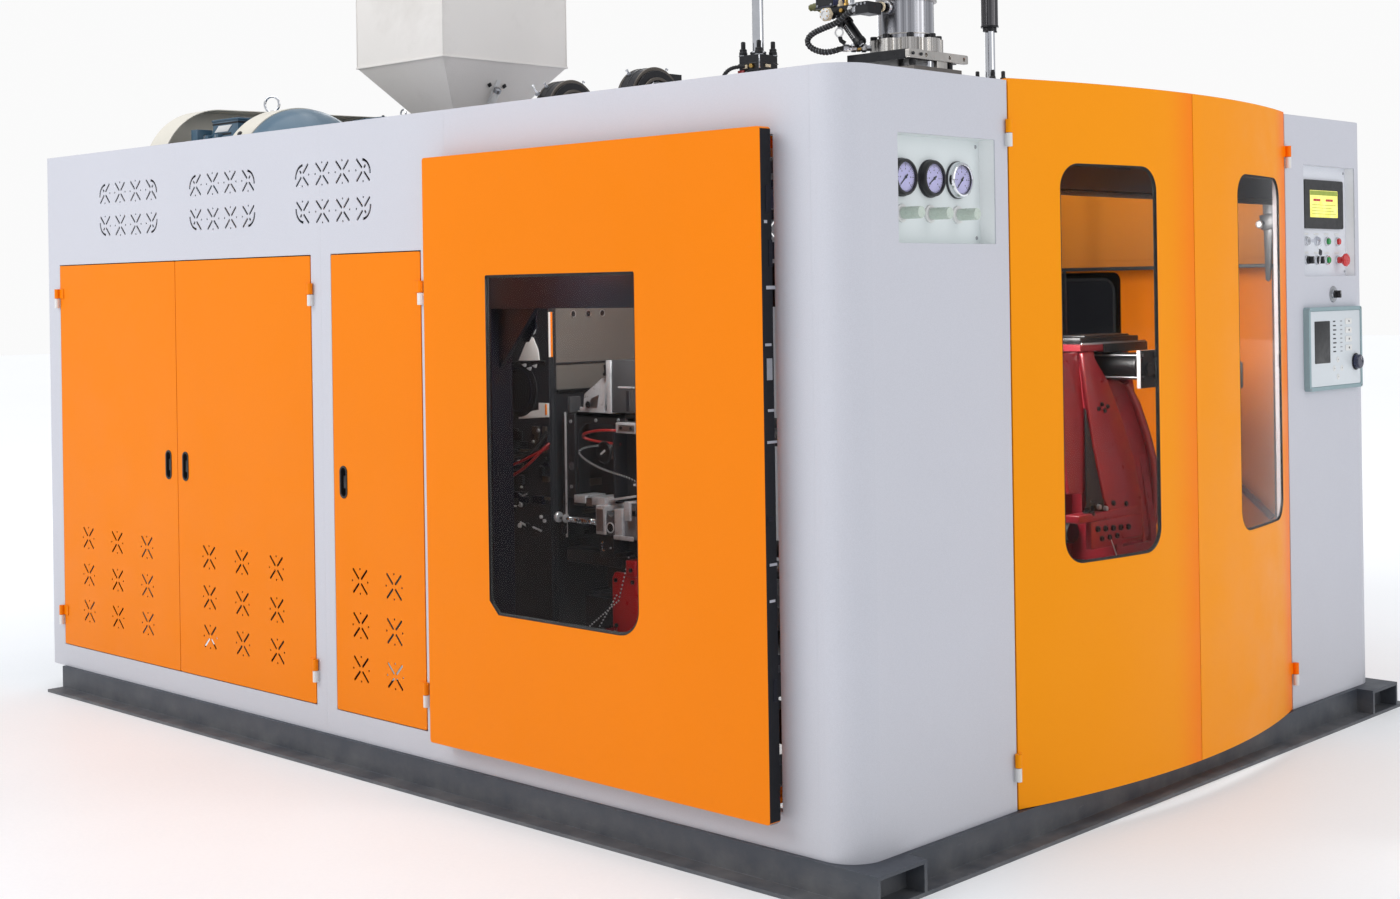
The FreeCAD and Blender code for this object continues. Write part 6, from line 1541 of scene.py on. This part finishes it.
# ---- big slanted ribs of the clamp stations, seen through the curved windows
paint("m_rib_red", srgb(128, 22, 34), rough=0.34, patch=0.10, patch_scale=5.0, grain=0.08, grain_scale=260, peel=0.45,
      peel_scale=70, edge=0.8, edge_color=srgb(196, 96, 100), edge_r=0.003, coat=0.3)
for n, s in (("near_front_platen", -1), ("far_front_platen", 1)):
    NODES[n].data.materials.clear()
    NODES[n].data.materials.append(MATS["m_rib_red"])
    repaint(n, "m_fitting", lambda x, y, z: x > 1199 and 1036 < z < 1130 and abs(y - 552 * s) < 47.5)
    repaint(n, "m_silver", lambda x, y, z: x > 1386 and abs(y - 552 * s) < 47.5)
    repaint(n, "m_fitting", lambda x, y, z: x > 1398.5 and abs(y - 552 * s) < 47.5)


def slanted(b, pts, t, mi, bev=4.0):
    """A plate whose face has the given corners, all near one slanted plane, t thick to the back."""
    bm = bmesh.new()
    back = Vector((-1, 0, -0.1222)).normalized() * t
    lo = [bm.verts.new(Vector(p)) for p in pts]
    hi = [bm.verts.new(Vector(p) + back) for p in pts]
    bm.faces.new(lo)
    bm.faces.new(hi)
    n = len(pts)
    for i in range(n):
        bm.faces.new((lo[i], lo[(i + 1) % n], hi[(i + 1) % n], hi[i]))
    bmesh.ops.recalc_face_normals(bm, faces=bm.faces)
    bmesh.ops.bevel(bm, geom=list(bm.edges), offset=bev, segments=3, profile=0.5, affect="EDGES", clamp_overlap=True)
    b._merge(bm, mi)


def stations():
    centre = [(1290, 417, 1130), (1295, 445, 1093), (1301, 485, 1044), (1316, 540, 922), (1331, 579, 801), (1345, 596, 681),
              (1359, 571, 572), (1356, 470, 575), (1344, 392, 692), (1324, 369, 855), (1305, 361, 1011), (1290, 367, 1130)]
    outer = [(1301, 492, 1044), (1301, 559, 1043), (1304, 616, 1022), (1313, 659, 947), (1325, 698, 848), (1336, 711, 759),
             (1356, 672, 594), (1363, 600, 545), (1345, 619, 679), (1331, 579, 801), (1316, 540, 923)]
    left = [(1290, 240, 1131), (1290, 367, 1131), (1305, 362, 1011), (1314, 359, 934), (1340, 304, 722), (1340, 230, 726)]
    # painted shade: the dark points outline a thin plate that fills the triangular gap between the ribs
    dark = [(1311, 357, 965), (1344, 391, 692), (1345, 303, 684)]
    for s, body in ((-1, "near_front_platen"), (1, "far_front_platen")):
        b = Build("m_rib_red", "m_fitting", "m_silver", "m_chrome", "m_galv", "m_orange_painted_shade", "m_black_cast", "m_mark")

        # the two stations pass each other at the middle, so the near fittings stop further out
        lo = 330 if s < 0 else 0

        def side(p, dx=0.0):
            return [(x + dx, s * max(yy, lo), z) for x, yy, z in p]

        slanted(b, side(centre), 16, 0, 5.0)
        slanted(b, side(outer, -14.0), 16, 0, 6.0)
        slanted(b, side(left, -16.0), 14, 0, 4.0)
        # painted shade: thin dark plate in the gap between the ribs
        slanted(b, side(dark, -8.0), 5, 7, 0.5)
        # rolled bright edge of the outer rib
        edge = [(1302, 600, 1030), (1312, 640, 962), (1324, 672, 872), (1334, 694, 790), (1344, 690, 700), (1354, 664, 600)]
        b.tube([(x - 8, s * yy, z) for x, yy, z in edge], [10, 13, 14, 13, 12, 8], 14, 0)
        # cap screws on the centre rib
        for yy, z in ((412, 962), (432, 974), (444, 955), (462, 966)):
            b.screw((1290 + 0.1222 * (1133 - z), s * yy, z), (1, 0, 0.1222), 6.5, 6, 1)
        # low block with its black screws and hose ends
        b.box(1332, s * max(300, lo), 560, 1352, s * 584, 640, 3.0, 3, 0)
        b.box(1300, s * max(240, lo), 640, 1350, s * 566, 664, 4.0, 3, 0)
        for yy in [v for v in (330, 372, 414, 456, 498) if v > lo + 12]:
            b.screw((1352, s * yy, 618 - (yy - 330) * 0.06), "X", 9, 8, 1)
        for yy in (352, 394, 436):
            b.screw((1352, s * yy, 588), "X", 8, 7, 1)
        for yy, z in [p for p in ((316, 652), (352, 668), (388, 660), (430, 672), (500, 664)) if p[0] > lo + 16]:
            b.lathe((1330, s * yy, z), "Z", [(0, 0), (13, 0), (14, 3), (14, 16), (9, 20), (9, 28), (0, 30)], 20, 1)
            b.hexa((1342, s * yy, z + 12), "X", 8, 10, 4 if yy in (352, 388) else 1)
        for y0, y1, z in [p for p in ((316, 352, 690), (388, 430, 696), (430, 500, 700)) if p[0] > lo + 16]:
            b.tube([(1332, s * y0, z - 10), (1336, s * (y0 + 8), z + 6), (1336, s * (y1 - 8), z + 6), (1332, s * y1, z - 10)],
                   4.5, 10, 1)
        b.tube([(1350, s * 404, 586), (1356, s * 412, 560), (1352, s * 440, 520)], 1.6, 6, 2)
        # small cylinder: highlights are the turned rings, the tie rods and the end plate
        y = 552.0 * s
        b.ring((1200, y, 1084), "X", 47, 41.2, 10, 2.0, 40, 4)
        b.ring((1370, y, 1084), "X", 47, 41.2, 12, 2.0, 40, 1)
        for dy, dz in ((-33, 33), (33, 33), (-33, -33), (33, -33)):
            b.tube([(1205, y + dy, 1084 + dz), (1388, y + dy, 1084 + dz)], 3.2, 10, 4)
            b.hexa((1399, y + dy * 1.05, 1084 + dz), "X", 8, 7, 1)
        b.lathe((1399, y, 1076), "X", [(0, 0), (18, 0), (20, 3), (20, 8), (0, 8)], 28, 1)
        b.box(1282, 490 if s > 0 else -738, 1126, 1287, 738 if s > 0 else -490, 1152, 0.8, 2, 1)
        b.hexa((1300, y, 1123), "Z", 9, 8, 1)
        # dark bar on the top shelf and plates
        b.box(1150, y - 176, 1153, 1276, y + 150, 1172, 1.5, 2, 1)
        b.box(1180, y - 130, 1172, 1262, y + 120, 1178, 2.0, 2, 6)
        b.box(1276, y - 176, 1150, 1282, y + 184, 1157, 0.8, 2, 4)
        b.done(("near" if s < 0 else "far") + "_platen_fittings", body)


stations()


def front_view():
    # rounded cover along the front cross rail, its colour painted light and shade: dark shade above running to a silver
    # sheen below, and it glows by emission as painted light
    g = Graph("m_rail_cover")
    z = g.zpos()
    f = g.remap(z, 1.596, 1.634)
    n = g.noise(3.0, 3.0, 0.6, vec=g.stretched(1.0, 0.4, 14.0))
    base = g.mix(g.remap(n, 0.3, 0.7), srgb(150, 148, 160), srgb(214, 212, 224))
    col = g.mix(f, base, srgb(22, 20, 24))
    g.link(col, g.bsdf.inputs["Base Color"])
    g.link(col, g.bsdf.inputs["Emission Color"])
    g.bsdf.inputs["Emission Strength"].default_value = 0.45
    g.link(g.remap(g.noise(8.0), 0.3, 0.7, 0.42, 0.6), g.bsdf.inputs["Roughness"])
    g.link(g.bump(g.noise(220.0, 3.0, 0.5), 0.08, 0.0006), g.bsdf.inputs["Normal"])
    g.bsdf.inputs["Specular IOR Level"].default_value = 0.2
    MATS["m_rail_cover"] = g.m
    b = Build("m_rail_cover", "m_mark", "m_navy")
    o = [(1590, 1580), (1600, 1580), (1612, 1586), (1618, 1600), (1616, 1626), (1606, 1648), (1590, 1652)]
    b.prism(o, "XZ", -1112, 1112, 1.0, 2, mi=0)
    # painted shade: dark strip under the rail cover
    b.box(1586, -1112, 1566, 1604, 1112, 1580, 1.0, 2, 1)
    b.done("front_rail_cover", "root")
    # sheet across the upper bay, on the inner side of the far frame, and the lever in front of it
    # painted shade: the sheet is orange darkened to brown, brightening to orange towards the top with height
    g = Graph("m_upper_sheet")
    f = g.remap(g.zpos(), 1.40, 1.66)
    n = g.noise(2.0, 4.0, 0.6)
    base = g.mix(g.remap(n, 0.3, 0.7), srgb(168, 102, 38), srgb(182, 112, 40))
    g.link(g.mix(f, base, srgb(220, 134, 36)), g.bsdf.inputs["Base Color"])
    g.link(g.remap(g.noise(8.0), 0.3, 0.7, 0.45, 0.6), g.bsdf.inputs["Roughness"])
    g.link(g.bump(g.noise(220.0, 3.0, 0.5), 0.08, 0.0006), g.bsdf.inputs["Normal"])
    g.bsdf.inputs["Specular IOR Level"].default_value = 0.2
    MATS["m_upper_sheet"] = g.m
    b = Build("m_upper_sheet", "m_mark", "m_fitting", "m_galv", "m_grey_plate", "m_silver")
    b.box(461, 1118, 1388, 1552, 1122, 1700, 0.8, 2, 0)
    b.box(461, 1116, 1376, 1552, 1122, 1388, 0.8, 2, 1)
    b.box(461, 1114, 1406, 1552, 1118, 1410, 0.8, 2, 0)
    b.box(739, 1117, 1130, 751, 1122, 1376, 0.8, 2, 2)
    b.box(1545, 1268, 100, 1660, 1276, 1700, 0.8, 2, 0)
    b.prism([(1490, 1690), (1540, 1690), (1526, 1520), (1514, 1338), (1507, 1331), (1499, 1338), (1494, 1520)], "XZ", 1098,
            1106, 1.2, mi=4)
    b.prism([(1484, 1540), (1536, 1548), (1530, 1496), (1490, 1494)], "XZ", 1092, 1098, 1.0, mi=4)
    b.lathe((1488, 1092, 1512), (0, -1, 0), [(0, 0), (12, 0), (13, 2), (13, 8), (9, 12), (0, 13)], 24, 5)
    b.box(1494, 1106, 1640, 1520, 1118, 1684, 1.0, 2, 4)
    b.done("far_upper_sheet", "root")
    b = Build("m_orange_painted_shade", "m_black_plastic", "m_galv", "m_fitting", "m_red_cast", "m_mark")
    y = YF + 52.0
    # orange strip darkened as painted shade, with its row of holes, dark seam and the low red bar inside the far door
    b.box(1408, y - 4, 170, 1440, y, 1674, 0.8, 2, 0)
    b.box(1402, y - 3, 170, 1408, y, 1674, 0.6, 2, 5)
    for k in range(100):
        z = 190 + k * 14.6
        b.disc((1416, y - 4, z), (0, -1, 0), 1.8, 0.7, 0.2, 8, 5)
    b.tube([(1270, y - 8, 662), (1395, y - 8, 557)], 11, 12, 4)
    b.done("far_door_inner_fittings", "far_slide")


front_view()
